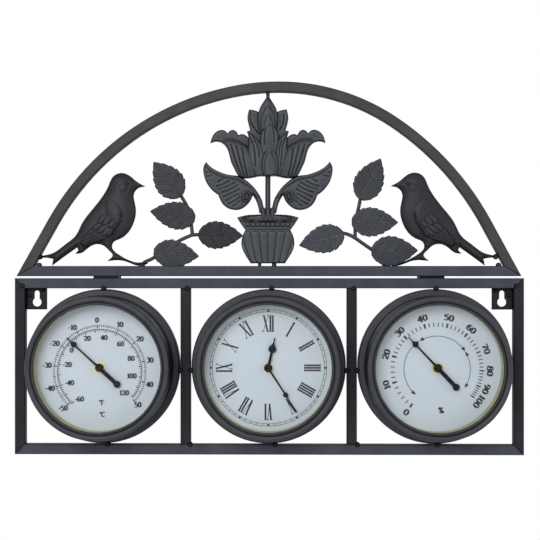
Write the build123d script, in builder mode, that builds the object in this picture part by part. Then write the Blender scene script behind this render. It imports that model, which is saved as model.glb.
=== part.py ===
from build123d import *
import os
from math import cos, hypot, pi, radians, sin, tan

os.makedirs("parts", exist_ok=True)

# A wall frame with a thermometer, a clock and a hygrometer under an arched panel of cast ornaments.
# The origin lies midway between the round holes of the two keyholes, on the frame's back plane.
# X runs to the right, Y into the wall and Z up, so the front faces along -Y.
# A depth is measured from the frame's back plane towards the front.

# Frame of square tube, one square cell for each case
TUBE = 10.0
TUBE_WALL = 1.0
TUBE_CORNER = 0.8
BORE_CORNER = 0.3
CASE_DIAMETER = 152.0
CASE_FIT = 0.7

# Keyhole plates
KEYHOLE_INSET = 20.1
KEYHOLE_DROP = 13.7
KEYHOLE_ROUND_R = 4.4
KEYHOLE_SLOT_R = 2.55
KEYHOLE_TRAVEL = 9.0
PLATE_WIDTH = 20.0
PLATE_HEIGHT = 21.0
PLATE_THICK = 1.2

# Weld beads
BEAD_R = 2.8
BEAD_SINK = 1.2
SPOT_R = 1.9

# Case shell
SHEET = 0.8
FLANGE_DEPTH = 10.0
FLANGE_ROUND = 3.2
FLANGE_COVE = 2.4
NECK_INSET = 6.7
LIP_ROUND = 1.2
LIP_DEPTH = 40.0
BACK_RECESS = 2.0
BACK_THICK = 1.2
BACK_FIT = 0.1
POST_WIDTH = 8.0
POST_REACH = 8.5
POST_ANGLE = 30
POST_COUNT = 3
SCREW_R = 1.25
SCREW_FIT = 0.05
SCREW_HOLE_FIT = 0.25
SCREW_LENGTH = 8.0
SCREW_HEAD_R = 2.5
SCREW_HEAD_THICK = 1.5
SCREW_SLOT = 0.6
SCREW_INSET = 4.6
VENT_R = 2.0
VENT_CIRCLE_R = 40.0
VENT_COUNT = 8
ACCESS_R = 42.0

# Bezel, glass, spacer ring and dial
BEZEL_WIDTH = 8.4
THIN_BEAD_R = 1.2
BEZEL_GROOVE = 0.4
BEAD_BASE = 43.5
GLASS_LAP = 5.1
GLASS_THICK = 2.0
GLASS_FIT = 0.3
SPACER_SETBACK = 0.3
SPACER_WALL = 1.0
DIAL_DEPTH = 26.0
DIAL_THICK = 0.6
DIAL_FIT = 0.2

# Quartz movement
MOVEMENT = 56.0
MOVEMENT_BACK = 10.0
MOVEMENT_COVER = 1.4
MOVEMENT_WALL = 1.2
MOVEMENT_CORNER = 3.0
HUB_BOSS_R = 3.95
HUB_BOSS_PROUD = 1.7
BOSS_FIT = 0.1
RUNNING_FIT = 0.05
NUT_R = 5.1
NUT_THICK = 1.4
NUT_SLOT = 1.2
CELL_R = 7.1
CELL_LENGTH = 49.2
CELL_NUB_R = 2.75
CELL_NUB = 1.1
CELL_DROP = 17.0
CELL_FIT = 0.1
CELL_BAY_FIT = 0.6
RIB_THICK = 1.2
RIB_SPREAD = 12.0
CONTACT_THICK = 0.4
CONTACT_R = 2.6
CONTACT_WIDTH = 9.0
MOTOR_FRONT = 20.4
MOTOR_BACK = 12.6
MOTOR_TOP = 24.0
MOTOR_FOOT = -7.5
MOTOR_FIT = 0.1
BOARD_WIDTH = 26.0
BOARD_HEIGHT = 9.0
BOARD_THICK = 0.8
BOARD_LIFT = -0.8

# Hands and their gears
HOUR_WHEEL_TEETH = 40
HOUR_PINION_TEETH = 10
MINUTE_WHEEL_TEETH = 36
CANNON_TEETH = 12
GEAR_CENTRES = 10.0
TOOTH_SHARE = 0.36
TOOTH_TIP_SHARE = 0.18
ADDENDUM = 0.65
DEDENDUM = 0.95
HOUR_WHEEL_BACK = 23.4
HOUR_WHEEL_THICK = 1.0
MINUTE_WHEEL_BACK = 21.4
MINUTE_WHEEL_THICK = 1.2
PINION_MARGIN = 0.2
HOUR_PIPE_R = 2.5
MINUTE_ARBOR_R = 1.7
ARBOR_PIVOT_R = 0.6
ARBOR_PIVOT_BACK = 18.0
HAND_THICK = 0.5
BLADE_TIP = 1.1
BLADE_SHOULDER_FOOT = (0.72, 0.69)
BLADE_SHOULDER_WAIST = (0.31, 1.28)
HOUR_HAND_DEPTH = 29.3
MINUTE_HAND_DEPTH = 30.7
HOUR_HAND_ANGLE = 12.2
MINUTE_HAND_ANGLE = 147.0
HOUR_HUB_R = 4.1
HOUR_BAR = 3.0
HOUR_NECK = 2.0
HOUR_SHOULDER = 6.6
HOUR_DISC_R = 3.75
HOUR_DISC_REACH = 18.6
HOUR_REACH = 29.7
MINUTE_HUB_R = 3.9
MINUTE_BAR = 1.9
MINUTE_NECK = 1.5
MINUTE_SHOULDER = 6.0
MINUTE_DISC_R = 2.5
MINUTE_TIP = 20.3
MINUTE_CLEARANCE = 9.9
KNOB_ARBOR_R = 1.0
KNOB_R = 4.5
KNOB_THICK = 4.0
KNOB_GAP = 0.3
KNOB_FLUTES = 12
KNOB_FLUTE_R = 0.6
END_SHAKE = 0.1

# Dial pointers on their spiral springs
POINTER_DEPTH = 29.8
POINTER_THICK = 0.6
POINTER_HUB_R = 4.2
POINTER_HUB_TAPER = 30
POINTER_HUB_THICK = 1.3
POINTER_BAR = 2.2
POINTER_NECK = 1.5
POINTER_SHOULDER = 5.2
POINTER_DISC_R = 2.9
POINTER_TAIL = 4.0
POINTER_TAIL_DISC_R = 3.4
THERMOMETER_ANGLE = -47.5
THERMOMETER_DISC_REACH = 33.4
THERMOMETER_REACH = 42.4
THERMOMETER_TAIL_REACH = 23.5
HYGROMETER_ANGLE = -43.5
HYGROMETER_DISC_REACH = 31.6
HYGROMETER_REACH = 41.5
HYGROMETER_TAIL_REACH = 25.2
POINTER_ARBOR_R = 0.8
BUSH_FLANGE_R = 5.6
BUSH_FLANGE = 1.0
BUSH_R = 3.0
BUSH_BACK = 24.0
BRACKET_SHEET = 1.0
BRACKET_INNER = 12.0
BRACKET_FOOT = 6.0
BRACKET_BACK = 13.0
BRACKET_WIDTH = 8.0
COIL_STRIP = 0.4
COIL_BACK = 17.0
COIL_WIDTH = 3.0
COIL_TURNS = 6
COIL_HUB_R = 1.5
COIL_HUB_GAP = 0.2

# Butt hinges between the frame and the arched panel
LEAF_THICK = 1.0
HINGE_X = 160.0
HINGE_LENGTH = 25.0
HINGE_Y = 2.2
KNUCKLE_R = 2.0
KNUCKLE_GAP = 0.3
KNUCKLE_MIDDLE = 12.0
PIN_R = 1.0
PIN_HEAD_R = 1.5
PIN_HEAD = 0.5
LEAF_SETBACK = 0.4

# Arched panel: radii of the tube's outer edge, and the angles at which one bend runs into the next
ARCH_HEIGHT = 191.3
ARCH_APEX_X = 9.7
ARCH_LEFT = {"side": -1, "crown_r": 235.0, "crown_end": 11.4, "flank_r": 268.0, "flank_end": 60.6}
ARCH_RIGHT = {"side": 1, "crown_r": 208.0, "crown_end": 33.75, "flank_r": 287.0, "flank_end": 61.5}
ARCH_SPARE = 15.0

# Cast and pressed ornaments, held in the middle of the arch tube's depth
ORNAMENT_BACK = 2.6
ORNAMENT_THICK = 4.0
RELIEF = 1.6
RELIEF_TOP = 0.8
STEM_R = 1.8
LEAF_SHEET = 1.2
LEAF_TEETH = 9
LEAF_TOOTH = 0.9
LEAF_VEIN = 0.9
LEAF_RIB = 1.4
LEAF_VEIN_RISE = 0.5
LEAF_VEIN_PAIRS = 4
LEAF_VEIN_START = 0.6
LEAF_VEIN_SHARE = 0.9
LEAF_VEIN_WIDTH = 0.36
VEIN_ANGLE = 38
LEAF_RIB_SHARE = 0.84
LEAF_RIB_MIDDLE = 0.46
LEAF_FOOT = 0.12
LEAF_TOOTH_TIP = 0.8
ORNAMENT_X = -0.8
FLOWER_STEM_R = 2.6
BIRD_INSETS = {-1: 19.54, 1: 22.65}

# Places that follow from the sizes above
BORE = TUBE - 2 * TUBE_WALL
CELL = CASE_DIAMETER + 2 * CASE_FIT
CASE_PITCH = CELL + TUBE
CASE_X = {"thermometer": -CASE_PITCH, "clock": 0.0, "hygrometer": CASE_PITCH}
FRAME_HALF = 1.5 * CELL + 2 * TUBE
RAIL_Z = KEYHOLE_DROP
FRAME_TOP = RAIL_Z + TUBE
CASE_Z = RAIL_Z - CELL / 2
FRAME_BOTTOM = RAIL_Z - CELL - TUBE
DIVIDER_X = (CELL + TUBE) / 2
KEYHOLE_X = FRAME_HALF - KEYHOLE_INSET
CASE_R = CASE_DIAMETER / 2
CASE_INNER_R = CASE_R - SHEET
NECK_R = CASE_R - NECK_INSET
NECK_INNER_R = NECK_R - SHEET
POST_INNER_R = NECK_INNER_R - POST_REACH
SCREW_CIRCLE_R = NECK_INNER_R - SCREW_INSET
BEZEL_R = NECK_R
OPENING_R = BEZEL_R - BEZEL_WIDTH
GLASS_R = OPENING_R + GLASS_LAP
MOUTH_R = GLASS_R + GLASS_FIT
SPACER_R = OPENING_R + SPACER_SETBACK
MINUTE_REACH = OPENING_R - MINUTE_CLEARANCE
MINUTE_DISC_REACH = MINUTE_REACH - MINUTE_TIP
BACK_FRONT = BACK_RECESS + BACK_THICK
GLASS_FRONT = LIP_DEPTH + GLASS_THICK
DIAL_FRONT = DIAL_DEPTH + DIAL_THICK
HINGE_Z = FRAME_TOP + LEAF_THICK
SILL_Z = HINGE_Z + LEAF_THICK
ORNAMENT_FRONT = ORNAMENT_BACK + ORNAMENT_THICK

# Sketch planes that are seen from the front
FRONT = Plane(origin=(0, 0, 0), x_dir=(1, 0, 0), z_dir=(0, -1, 0))
PANEL = Plane(origin=(0, 0, SILL_Z), x_dir=(1, 0, 0), z_dir=(0, -1, 0))


def case_front(x, depth, angle=0):
    """Front-facing plane on a case's axis, turned clockwise so that its own Y points along a hand."""
    turn = radians(angle)
    return Plane(origin=(x, -depth, CASE_Z), x_dir=(cos(turn), 0, -sin(turn)), z_dir=(0, -1, 0))


def case_section(x):
    """Plane through a case's axis, in radius and depth."""
    return Plane(origin=(x, 0, CASE_Z), x_dir=(1, 0, 0), z_dir=(0, 0, -1))


def case_axis(x):
    """The axis of one case, from front to back."""
    return Axis((x, 0, CASE_Z), (0, 1, 0))


def keep_part(builder, name):
    """Label a finished piece and write it to its own file."""
    builder.part.label = name
    export_step(builder.part, f"parts/{name}.step")


def closed_outline(runs):
    """The area inside smooth runs and straight two-point runs that meet end to end."""
    with BuildSketch(Plane.XY) as area:
        with BuildLine():
            for run in runs:
                if len(run) == 2:
                    Line(*run)
                else:
                    Spline(*run)
        make_face()
    return area.sketch_local


def reflected(runs):
    """The same runs swapped left for right, going back the other way."""
    return [[(-x, z) for x, z in reversed(run)] for run in reversed(runs)]


def shifted(runs, side, shift):
    """The same runs moved along X, and swapped left for right where side is -1."""
    return [[(side * x + shift, z) for x, z in run] for run in runs]


# Frame tubes

def square_tube(section, length):
    """Square tube pulled from the plane of its end section."""
    with BuildPart() as tube:
        with BuildSketch(section):
            RectangleRounded(TUBE, TUBE, TUBE_CORNER)
            RectangleRounded(BORE, BORE, BORE_CORNER, mode=Mode.SUBTRACT)
        extrude(amount=length)
    return tube.part


def frame_mitre(side, end, faces_rail):
    """Mitre plane of one frame corner, facing the rail or the post."""
    corner = (side * FRAME_HALF, 0, FRAME_TOP if end > 0 else FRAME_BOTTOM)
    normal = (-side, 0, end) if faces_rail else (side, 0, -end)
    return Plane(origin=corner, z_dir=normal)


for rail_name, end in (("frame_top_rail", 1), ("frame_bottom_rail", -1)):
    rail_z = (FRAME_TOP if end > 0 else FRAME_BOTTOM) - end * TUBE / 2
    with BuildPart() as rail:
        add(square_tube(Plane(origin=(-FRAME_HALF, -TUBE / 2, rail_z), x_dir=(0, 1, 0), z_dir=(1, 0, 0)),
                        2 * FRAME_HALF))
        for side in (-1, 1):
            split(bisect_by=frame_mitre(side, end, True))
    keep_part(rail, rail_name)

for post_name, side in (("frame_left_post", -1), ("frame_right_post", 1)):
    with BuildPart() as post:
        add(square_tube(Plane(origin=(side * (FRAME_HALF - TUBE / 2), -TUBE / 2, FRAME_BOTTOM)),
                        CELL + 2 * TUBE))
        for end in (-1, 1):
            split(bisect_by=frame_mitre(side, end, False))
    keep_part(post, post_name)

for divider_name, side in (("frame_left_divider", -1), ("frame_right_divider", 1)):
    with BuildPart() as divider:
        add(square_tube(Plane(origin=(side * DIVIDER_X, -TUBE / 2, FRAME_BOTTOM + TUBE)), CELL))
    keep_part(divider, divider_name)

# The frame's outer form without its bores, which the weld beads are cut to
with BuildPart() as frame_form:
    with BuildSketch(FRONT):
        with Locations((0, CASE_Z)):
            Rectangle(2 * FRAME_HALF, CELL + 2 * TUBE)
        with Locations(*[(x, CASE_Z) for x in CASE_X.values()]):
            Rectangle(CELL, CELL, mode=Mode.SUBTRACT)
    extrude(amount=TUBE)


def case_form(x, inset):
    """Solid form of a case, wide at the back and narrow in front, drawn in from its faces by an inset."""
    flange_r = CASE_R - inset
    neck_r = NECK_R - inset
    flange_front = FLANGE_DEPTH - inset
    lip_front = LIP_DEPTH - inset
    with BuildPart() as form:
        with BuildSketch(case_section(x)) as profile:
            with BuildLine():
                Polyline((0, 0), (flange_r, 0), (flange_r, flange_front), (neck_r, flange_front),
                         (neck_r, lip_front), (0, lip_front), close=True)
            make_face()
            fillet(profile.vertices().sort_by_distance((flange_r, flange_front))[0], FLANGE_ROUND - inset)
            fillet(profile.vertices().sort_by_distance((neck_r, flange_front))[0], FLANGE_COVE + inset)
            fillet(profile.vertices().sort_by_distance((neck_r, lip_front))[0], LIP_ROUND - inset)
        revolve(axis=case_axis(x))
    return form.part


# Keyhole plates
for plate_name, side in (("keyhole_plate_left", -1), ("keyhole_plate_right", 1)):
    plate_x = side * (FRAME_HALF - TUBE - PLATE_WIDTH / 2)
    with BuildPart() as plate:
        with BuildSketch(FRONT):
            with Locations((plate_x, RAIL_Z - PLATE_HEIGHT / 2)):
                Rectangle(PLATE_WIDTH, PLATE_HEIGHT)
            with Locations((side * KEYHOLE_X, 0)):
                Circle(KEYHOLE_ROUND_R, mode=Mode.SUBTRACT)
            with Locations((side * KEYHOLE_X, KEYHOLE_TRAVEL / 2)):
                SlotCenterToCenter(KEYHOLE_TRAVEL, 2 * KEYHOLE_SLOT_R, rotation=90, mode=Mode.SUBTRACT)
        extrude(amount=PLATE_THICK)
    keep_part(plate, plate_name)

# Weld beads on the frame: at its corners, at the dividers' ends, round the cases and on the plates
CORNER_BEAD = 7.6
DIVIDER_BEADS = [(-1, 1.5, 1), (1, 1.9, 1), (-1, 4.5, -1), (1, 5.4, -1)]
CASE_TOP_BEADS = {"thermometer": 1.0, "clock": 3.0, "hygrometer": 0.9}
CASE_FOOT_BEADS = {"thermometer": 5.5, "clock": 6.4, "hygrometer": 2.4}
CASE_SIDE_DROP = 4.0
PLATE_BEADS = [(3.1, 7.4), (16.2, 2.0)]

front_beads = [(side * (FRAME_HALF - CORNER_BEAD), FRAME_TOP - CORNER_BEAD) for side in (-1, 1)]
front_beads += [(side * DIVIDER_X + shift, RAIL_Z if end > 0 else RAIL_Z - CELL)
                for side, shift, end in DIVIDER_BEADS]
front_beads += [(CASE_X[name] + shift, RAIL_Z) for name, shift in CASE_TOP_BEADS.items()]
front_beads += [(CASE_X[name] + shift, RAIL_Z - CELL) for name, shift in CASE_FOOT_BEADS.items()]
front_beads += [(side * DIVIDER_X + way * TUBE / 2, CASE_Z - CASE_SIDE_DROP) for side in (-1, 1)
                for way in (-1, 1)]
plate_beads = [(side * (FRAME_HALF - TUBE - inset), RAIL_Z - drop) for side in (-1, 1)
               for inset, drop in PLATE_BEADS]

with BuildPart() as plate_form:
    with BuildSketch(FRONT):
        with Locations(*[(side * (FRAME_HALF - TUBE - PLATE_WIDTH / 2), RAIL_Z - PLATE_HEIGHT / 2)
                         for side in (-1, 1)]):
            Rectangle(PLATE_WIDTH, PLATE_HEIGHT)
    extrude(amount=PLATE_THICK)

with BuildPart() as frame_beads:
    with Locations(*[(x, BEAD_SINK - TUBE, z) for x, z in front_beads]):
        Sphere(BEAD_R)
    with Locations(*[(x, -PLATE_THICK, z) for x, z in plate_beads]):
        Sphere(SPOT_R)
    add(frame_form.part, mode=Mode.SUBTRACT)
    for x in CASE_X.values():
        add(case_form(x, 0), mode=Mode.SUBTRACT)
    add(plate_form.part, mode=Mode.SUBTRACT)
    split(bisect_by=FRONT, keep=Keep.TOP)
keep_part(frame_beads, "frame_weld_beads")


# Instrument cases

def make_drum(name, x):
    """Open metal drum with a rolled flange at the back, a lip for the bezel and three posts inside."""
    with BuildPart() as drum:
        add(case_form(x, 0))
        add(case_form(x, SHEET), mode=Mode.SUBTRACT)
        with BuildSketch(case_front(x, LIP_DEPTH - SHEET)):
            Circle(MOUTH_R)
        extrude(amount=SHEET, mode=Mode.SUBTRACT)
        post_outer = NECK_INNER_R + SHEET / 2
        with BuildSketch(case_front(x, BACK_FRONT)):
            with PolarLocations((post_outer + POST_INNER_R) / 2, POST_COUNT, start_angle=POST_ANGLE):
                Rectangle(post_outer - POST_INNER_R, POST_WIDTH)
        extrude(amount=DIAL_DEPTH - BACK_FRONT)
        with BuildSketch(case_front(x, BACK_FRONT)):
            with PolarLocations(SCREW_CIRCLE_R, POST_COUNT, start_angle=POST_ANGLE):
                Circle(SCREW_R + SCREW_FIT)
        extrude(amount=SCREW_LENGTH, mode=Mode.SUBTRACT)
    keep_part(drum, name + "_drum")


def make_back_plate(name, x):
    """Round back plate with its screw holes, and vents or an opening to reach the movement."""
    with BuildPart() as back:
        with BuildSketch(case_front(x, BACK_RECESS)):
            Circle(CASE_INNER_R - BACK_FIT)
            with PolarLocations(SCREW_CIRCLE_R, POST_COUNT, start_angle=POST_ANGLE):
                Circle(SCREW_R + SCREW_HOLE_FIT, mode=Mode.SUBTRACT)
            if name == "clock":
                Circle(ACCESS_R, mode=Mode.SUBTRACT)
            else:
                with PolarLocations(VENT_CIRCLE_R, VENT_COUNT):
                    Circle(VENT_R, mode=Mode.SUBTRACT)
        extrude(amount=BACK_THICK)
    keep_part(back, name + "_back_plate")


def make_bezel(name, x):
    """Ring with a thick outer bead, a groove and a thin inner bead, seated on the drum's lip."""
    thin_outer = OPENING_R + 2 * THIN_BEAD_R
    thick_inner = thin_outer + BEZEL_GROOVE
    thick_r = (BEZEL_R - thick_inner) / 2
    with BuildPart() as bezel:
        with BuildSketch(case_section(x)):
            with BuildLine():
                Polyline((BEZEL_R, BEAD_BASE), (BEZEL_R, LIP_DEPTH), (MOUTH_R, LIP_DEPTH),
                         (MOUTH_R, GLASS_FRONT), (OPENING_R, GLASS_FRONT),
                         (OPENING_R, BEAD_BASE))
                ThreePointArc((OPENING_R, BEAD_BASE), (OPENING_R + THIN_BEAD_R, BEAD_BASE + THIN_BEAD_R),
                              (thin_outer, BEAD_BASE))
                Line((thin_outer, BEAD_BASE), (thick_inner, BEAD_BASE))
                ThreePointArc((thick_inner, BEAD_BASE), (thick_inner + thick_r, BEAD_BASE + thick_r),
                              (BEZEL_R, BEAD_BASE))
            make_face()
        revolve(axis=case_axis(x))
    keep_part(bezel, name + "_bezel")


def make_disc(name, x, depth, radius, thick, hole=0.0):
    """Flat disc on the case's axis, with a hole at the middle where one is given."""
    with BuildPart() as disc:
        with BuildSketch(case_front(x, depth)):
            Circle(radius)
            if hole:
                Circle(hole, mode=Mode.SUBTRACT)
        extrude(amount=thick)
    keep_part(disc, name)


DIAL_HOLE_R = {"thermometer": BUSH_R + BOSS_FIT, "clock": HUB_BOSS_R + BOSS_FIT,
               "hygrometer": BUSH_R + BOSS_FIT}

for case_name, case_x in CASE_X.items():
    make_drum(case_name, case_x)
    make_back_plate(case_name, case_x)
    make_bezel(case_name, case_x)
    make_disc(case_name + "_glass", case_x, LIP_DEPTH, GLASS_R, GLASS_THICK)
    make_disc(case_name + "_spacer_ring", case_x, DIAL_FRONT, SPACER_R + SPACER_WALL,
              LIP_DEPTH - DIAL_FRONT, SPACER_R)
    make_disc(case_name + "_dial", case_x, DIAL_DEPTH, MOUTH_R - DIAL_FIT, DIAL_THICK,
              DIAL_HOLE_R[case_name])

# Screws that hold the back plates to the posts
with BuildPart() as screws:
    for x in CASE_X.values():
        with BuildSketch(case_front(x, BACK_RECESS)):
            with PolarLocations(SCREW_CIRCLE_R, POST_COUNT, start_angle=POST_ANGLE):
                Circle(SCREW_R)
        extrude(amount=BACK_THICK + SCREW_LENGTH - END_SHAKE)
        with BuildSketch(case_front(x, BACK_RECESS - SCREW_HEAD_THICK)):
            with PolarLocations(SCREW_CIRCLE_R, POST_COUNT, start_angle=POST_ANGLE):
                Circle(SCREW_HEAD_R)
        extrude(amount=SCREW_HEAD_THICK)
        with BuildSketch(case_front(x, BACK_RECESS - SCREW_HEAD_THICK)):
            with PolarLocations(SCREW_CIRCLE_R, POST_COUNT, start_angle=POST_ANGLE):
                Rectangle(2 * SCREW_HEAD_R, SCREW_SLOT)
        extrude(amount=SCREW_HEAD_THICK / 2, mode=Mode.SUBTRACT)
keep_part(screws, "back_plate_screws")


# Pointers, bushes, brackets and springs of the thermometer and the hygrometer

def spade_blade(bar, neck, disc_r, disc_reach, shoulder, reach):
    """Flat blade of a hand: a tapering bar, a disc, and a shoulder that draws in to a thin tip."""
    foot_x, foot_y = (share * disc_r for share in BLADE_SHOULDER_FOOT)
    waist_x, waist_y = (share * disc_r for share in BLADE_SHOULDER_WAIST)
    tip_x = BLADE_TIP / 2
    top_y = disc_reach + shoulder
    with BuildSketch(Plane.XY) as blade:
        with BuildLine():
            Polyline((-bar / 2, 0), (bar / 2, 0), (neck / 2, disc_reach), (-neck / 2, disc_reach),
                     close=True)
        make_face()
        with Locations((0, disc_reach)):
            Circle(disc_r)
        with BuildLine():
            Spline((foot_x, disc_reach + foot_y), (waist_x, disc_reach + waist_y), (tip_x, top_y))
            Polyline((tip_x, top_y), (tip_x, reach), (-tip_x, reach), (-tip_x, top_y))
            Spline((-tip_x, top_y), (-waist_x, disc_reach + waist_y), (-foot_x, disc_reach + foot_y))
            Line((-foot_x, disc_reach + foot_y), (foot_x, disc_reach + foot_y))
        make_face()
    return blade.sketch_local


def make_pointer(name, x, angle, disc_reach, reach, tail_reach):
    """Pointer blade with its hub, on an arbor that runs back through the dial to the bracket."""
    with BuildPart() as pointer:
        with BuildSketch(case_front(x, POINTER_DEPTH, angle)):
            add(spade_blade(POINTER_BAR, POINTER_NECK, POINTER_DISC_R, disc_reach,
                            POINTER_SHOULDER, reach))
            with Locations((0, -tail_reach / 2)):
                Rectangle(POINTER_TAIL, tail_reach)
            with Locations((0, -tail_reach)):
                Circle(POINTER_TAIL_DISC_R)
        extrude(amount=POINTER_THICK)
        with BuildSketch(case_front(x, POINTER_DEPTH)):
            Circle(POINTER_HUB_R)
        extrude(amount=POINTER_HUB_THICK, taper=POINTER_HUB_TAPER)
        with BuildSketch(case_front(x, BRACKET_BACK + END_SHAKE)):
            Circle(POINTER_ARBOR_R)
        extrude(amount=POINTER_DEPTH - BRACKET_BACK)
        with BuildSketch(case_front(x, COIL_BACK)):
            Circle(COIL_HUB_R)
        extrude(amount=COIL_WIDTH)
    keep_part(pointer, name + "_pointer")


def dial_bracket(x):
    """Bent strip behind the dial, with a bearing hole for the arbor's back end."""
    outer = BRACKET_INNER + BRACKET_SHEET
    foot = outer + BRACKET_FOOT
    foot_back = DIAL_DEPTH - BRACKET_SHEET
    inside = BRACKET_BACK + BRACKET_SHEET
    half = [(0, BRACKET_BACK), (outer, BRACKET_BACK), (outer, foot_back), (foot, foot_back),
            (foot, DIAL_DEPTH), (BRACKET_INNER, DIAL_DEPTH), (BRACKET_INNER, inside), (0, inside)]
    with BuildPart() as bracket:
        with BuildSketch(case_section(x)):
            with BuildLine():
                Polyline(*half, close=True)
            make_face()
            mirror(about=Plane.YZ)
        extrude(amount=BRACKET_WIDTH / 2, both=True)
        with BuildSketch(case_front(x, BRACKET_BACK)):
            Circle(POINTER_ARBOR_R + RUNNING_FIT)
        extrude(amount=BRACKET_SHEET, mode=Mode.SUBTRACT)
    return bracket.part


def spiral_spring(x):
    """Flat spiral spring wound in half turns, from the arbor's hub out to the bracket's leg."""
    start = COIL_HUB_R + COIL_HUB_GAP + COIL_STRIP / 2
    pitch = (BRACKET_INNER - COIL_STRIP / 2 - start) / COIL_TURNS
    with BuildPart() as coil:
        with BuildSketch(case_front(x, COIL_BACK)):
            with BuildLine() as spiral:
                end_x = start
                for half_turn in range(2 * COIL_TURNS):
                    way = 1 if half_turn % 2 == 0 else -1
                    radius = start + half_turn * pitch / 2
                    CenterArc((end_x - way * radius, 0), radius, 0 if way > 0 else 180, 180)
                    end_x -= 2 * way * radius
            trace(spiral.line, line_width=COIL_STRIP)
        extrude(amount=COIL_WIDTH)
    return coil.part


make_pointer("thermometer", CASE_X["thermometer"], THERMOMETER_ANGLE, THERMOMETER_DISC_REACH,
             THERMOMETER_REACH, THERMOMETER_TAIL_REACH)
make_pointer("hygrometer", CASE_X["hygrometer"], HYGROMETER_ANGLE, HYGROMETER_DISC_REACH,
             HYGROMETER_REACH, HYGROMETER_TAIL_REACH)

with BuildPart() as brackets:
    for gauge_x in (CASE_X["thermometer"], CASE_X["hygrometer"]):
        add(dial_bracket(gauge_x))
keep_part(brackets, "dial_brackets")

with BuildPart() as coils:
    for gauge_x in (CASE_X["thermometer"], CASE_X["hygrometer"]):
        add(spiral_spring(gauge_x))
keep_part(coils, "spiral_springs")

with BuildPart() as bushes:
    for gauge_name in ("thermometer", "hygrometer"):
        x = CASE_X[gauge_name]
        with BuildSketch(case_front(x, DIAL_FRONT)):
            Circle(BUSH_FLANGE_R)
        extrude(amount=BUSH_FLANGE)
        with BuildSketch(case_front(x, BUSH_BACK)):
            Circle(BUSH_R)
        extrude(amount=DIAL_FRONT - BUSH_BACK)
        with BuildSketch(case_front(x, BUSH_BACK)):
            Circle(POINTER_ARBOR_R + RUNNING_FIT)
        extrude(amount=DIAL_FRONT + BUSH_FLANGE - BUSH_BACK, mode=Mode.SUBTRACT)
keep_part(bushes, "dial_bushes")

# Quartz movement behind the clock dial
MOVEMENT_FRONT = DIAL_DEPTH
COVER_FRONT = MOVEMENT_BACK + MOVEMENT_COVER
CASE_FLOOR = MOVEMENT_FRONT - MOVEMENT_WALL
MOVEMENT_INNER = MOVEMENT - 2 * MOVEMENT_WALL
BOSS_BORE_R = HOUR_PIPE_R + RUNNING_FIT
CELL_DEPTH = CASE_FLOOR - CELL_FIT - CELL_R
MINUTE_BORE_R = MINUTE_ARBOR_R + RUNNING_FIT


def movement_plane(depth, height):
    """Front-facing plane above or below the clock's axis."""
    return Plane(origin=(0, -depth, CASE_Z + height), x_dir=(1, 0, 0), z_dir=(0, -1, 0))


with BuildPart() as movement_case:
    with BuildSketch(case_front(0, COVER_FRONT)):
        RectangleRounded(MOVEMENT, MOVEMENT, MOVEMENT_CORNER)
    extrude(amount=MOVEMENT_FRONT - COVER_FRONT)
    with BuildSketch(case_front(0, COVER_FRONT)):
        RectangleRounded(MOVEMENT_INNER, MOVEMENT_INNER, MOVEMENT_CORNER - MOVEMENT_WALL)
    extrude(amount=CASE_FLOOR - COVER_FRONT, mode=Mode.SUBTRACT)
    rib_top = -CELL_DROP - CELL_R - CELL_FIT
    rib_height = rib_top + MOVEMENT_INNER / 2
    with BuildSketch(movement_plane(COVER_FRONT, rib_top - rib_height / 2)):
        with Locations((-RIB_SPREAD, 0), (RIB_SPREAD, 0)):
            Rectangle(RIB_THICK, rib_height)
    extrude(amount=CASE_FLOOR - COVER_FRONT)
    with BuildSketch(case_front(0, MOVEMENT_FRONT)):
        Circle(HUB_BOSS_R)
    extrude(amount=DIAL_THICK + HUB_BOSS_PROUD)
    with BuildSketch(case_front(0, CASE_FLOOR)):
        Circle(BOSS_BORE_R)
    extrude(amount=MOVEMENT_WALL + DIAL_THICK + HUB_BOSS_PROUD, mode=Mode.SUBTRACT)
keep_part(movement_case, "movement_case")

with BuildPart() as movement_cover:
    with BuildSketch(case_front(0, MOVEMENT_BACK)):
        RectangleRounded(MOVEMENT, MOVEMENT, MOVEMENT_CORNER)
        with Locations((0, -CELL_DROP)):
            Rectangle(CELL_LENGTH + CELL_NUB + 2 * CELL_BAY_FIT, 2 * (CELL_R + CELL_BAY_FIT),
                      mode=Mode.SUBTRACT)
        with Locations((0, GEAR_CENTRES)):
            Circle(KNOB_ARBOR_R + RUNNING_FIT, mode=Mode.SUBTRACT)
    extrude(amount=MOVEMENT_COVER)
keep_part(movement_cover, "movement_cover")

with BuildPart() as hub_nut:
    with BuildSketch(case_front(0, DIAL_FRONT)):
        Circle(NUT_R)
        Circle(HUB_BOSS_R + RUNNING_FIT, mode=Mode.SUBTRACT)
    extrude(amount=NUT_THICK)
    with BuildSketch(case_front(0, DIAL_FRONT + NUT_THICK / 2)):
        with Locations((-NUT_R, 0), (NUT_R, 0)):
            Rectangle(NUT_SLOT, NUT_SLOT)
    extrude(amount=NUT_THICK / 2, mode=Mode.SUBTRACT)
keep_part(hub_nut, "movement_nut")

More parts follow.
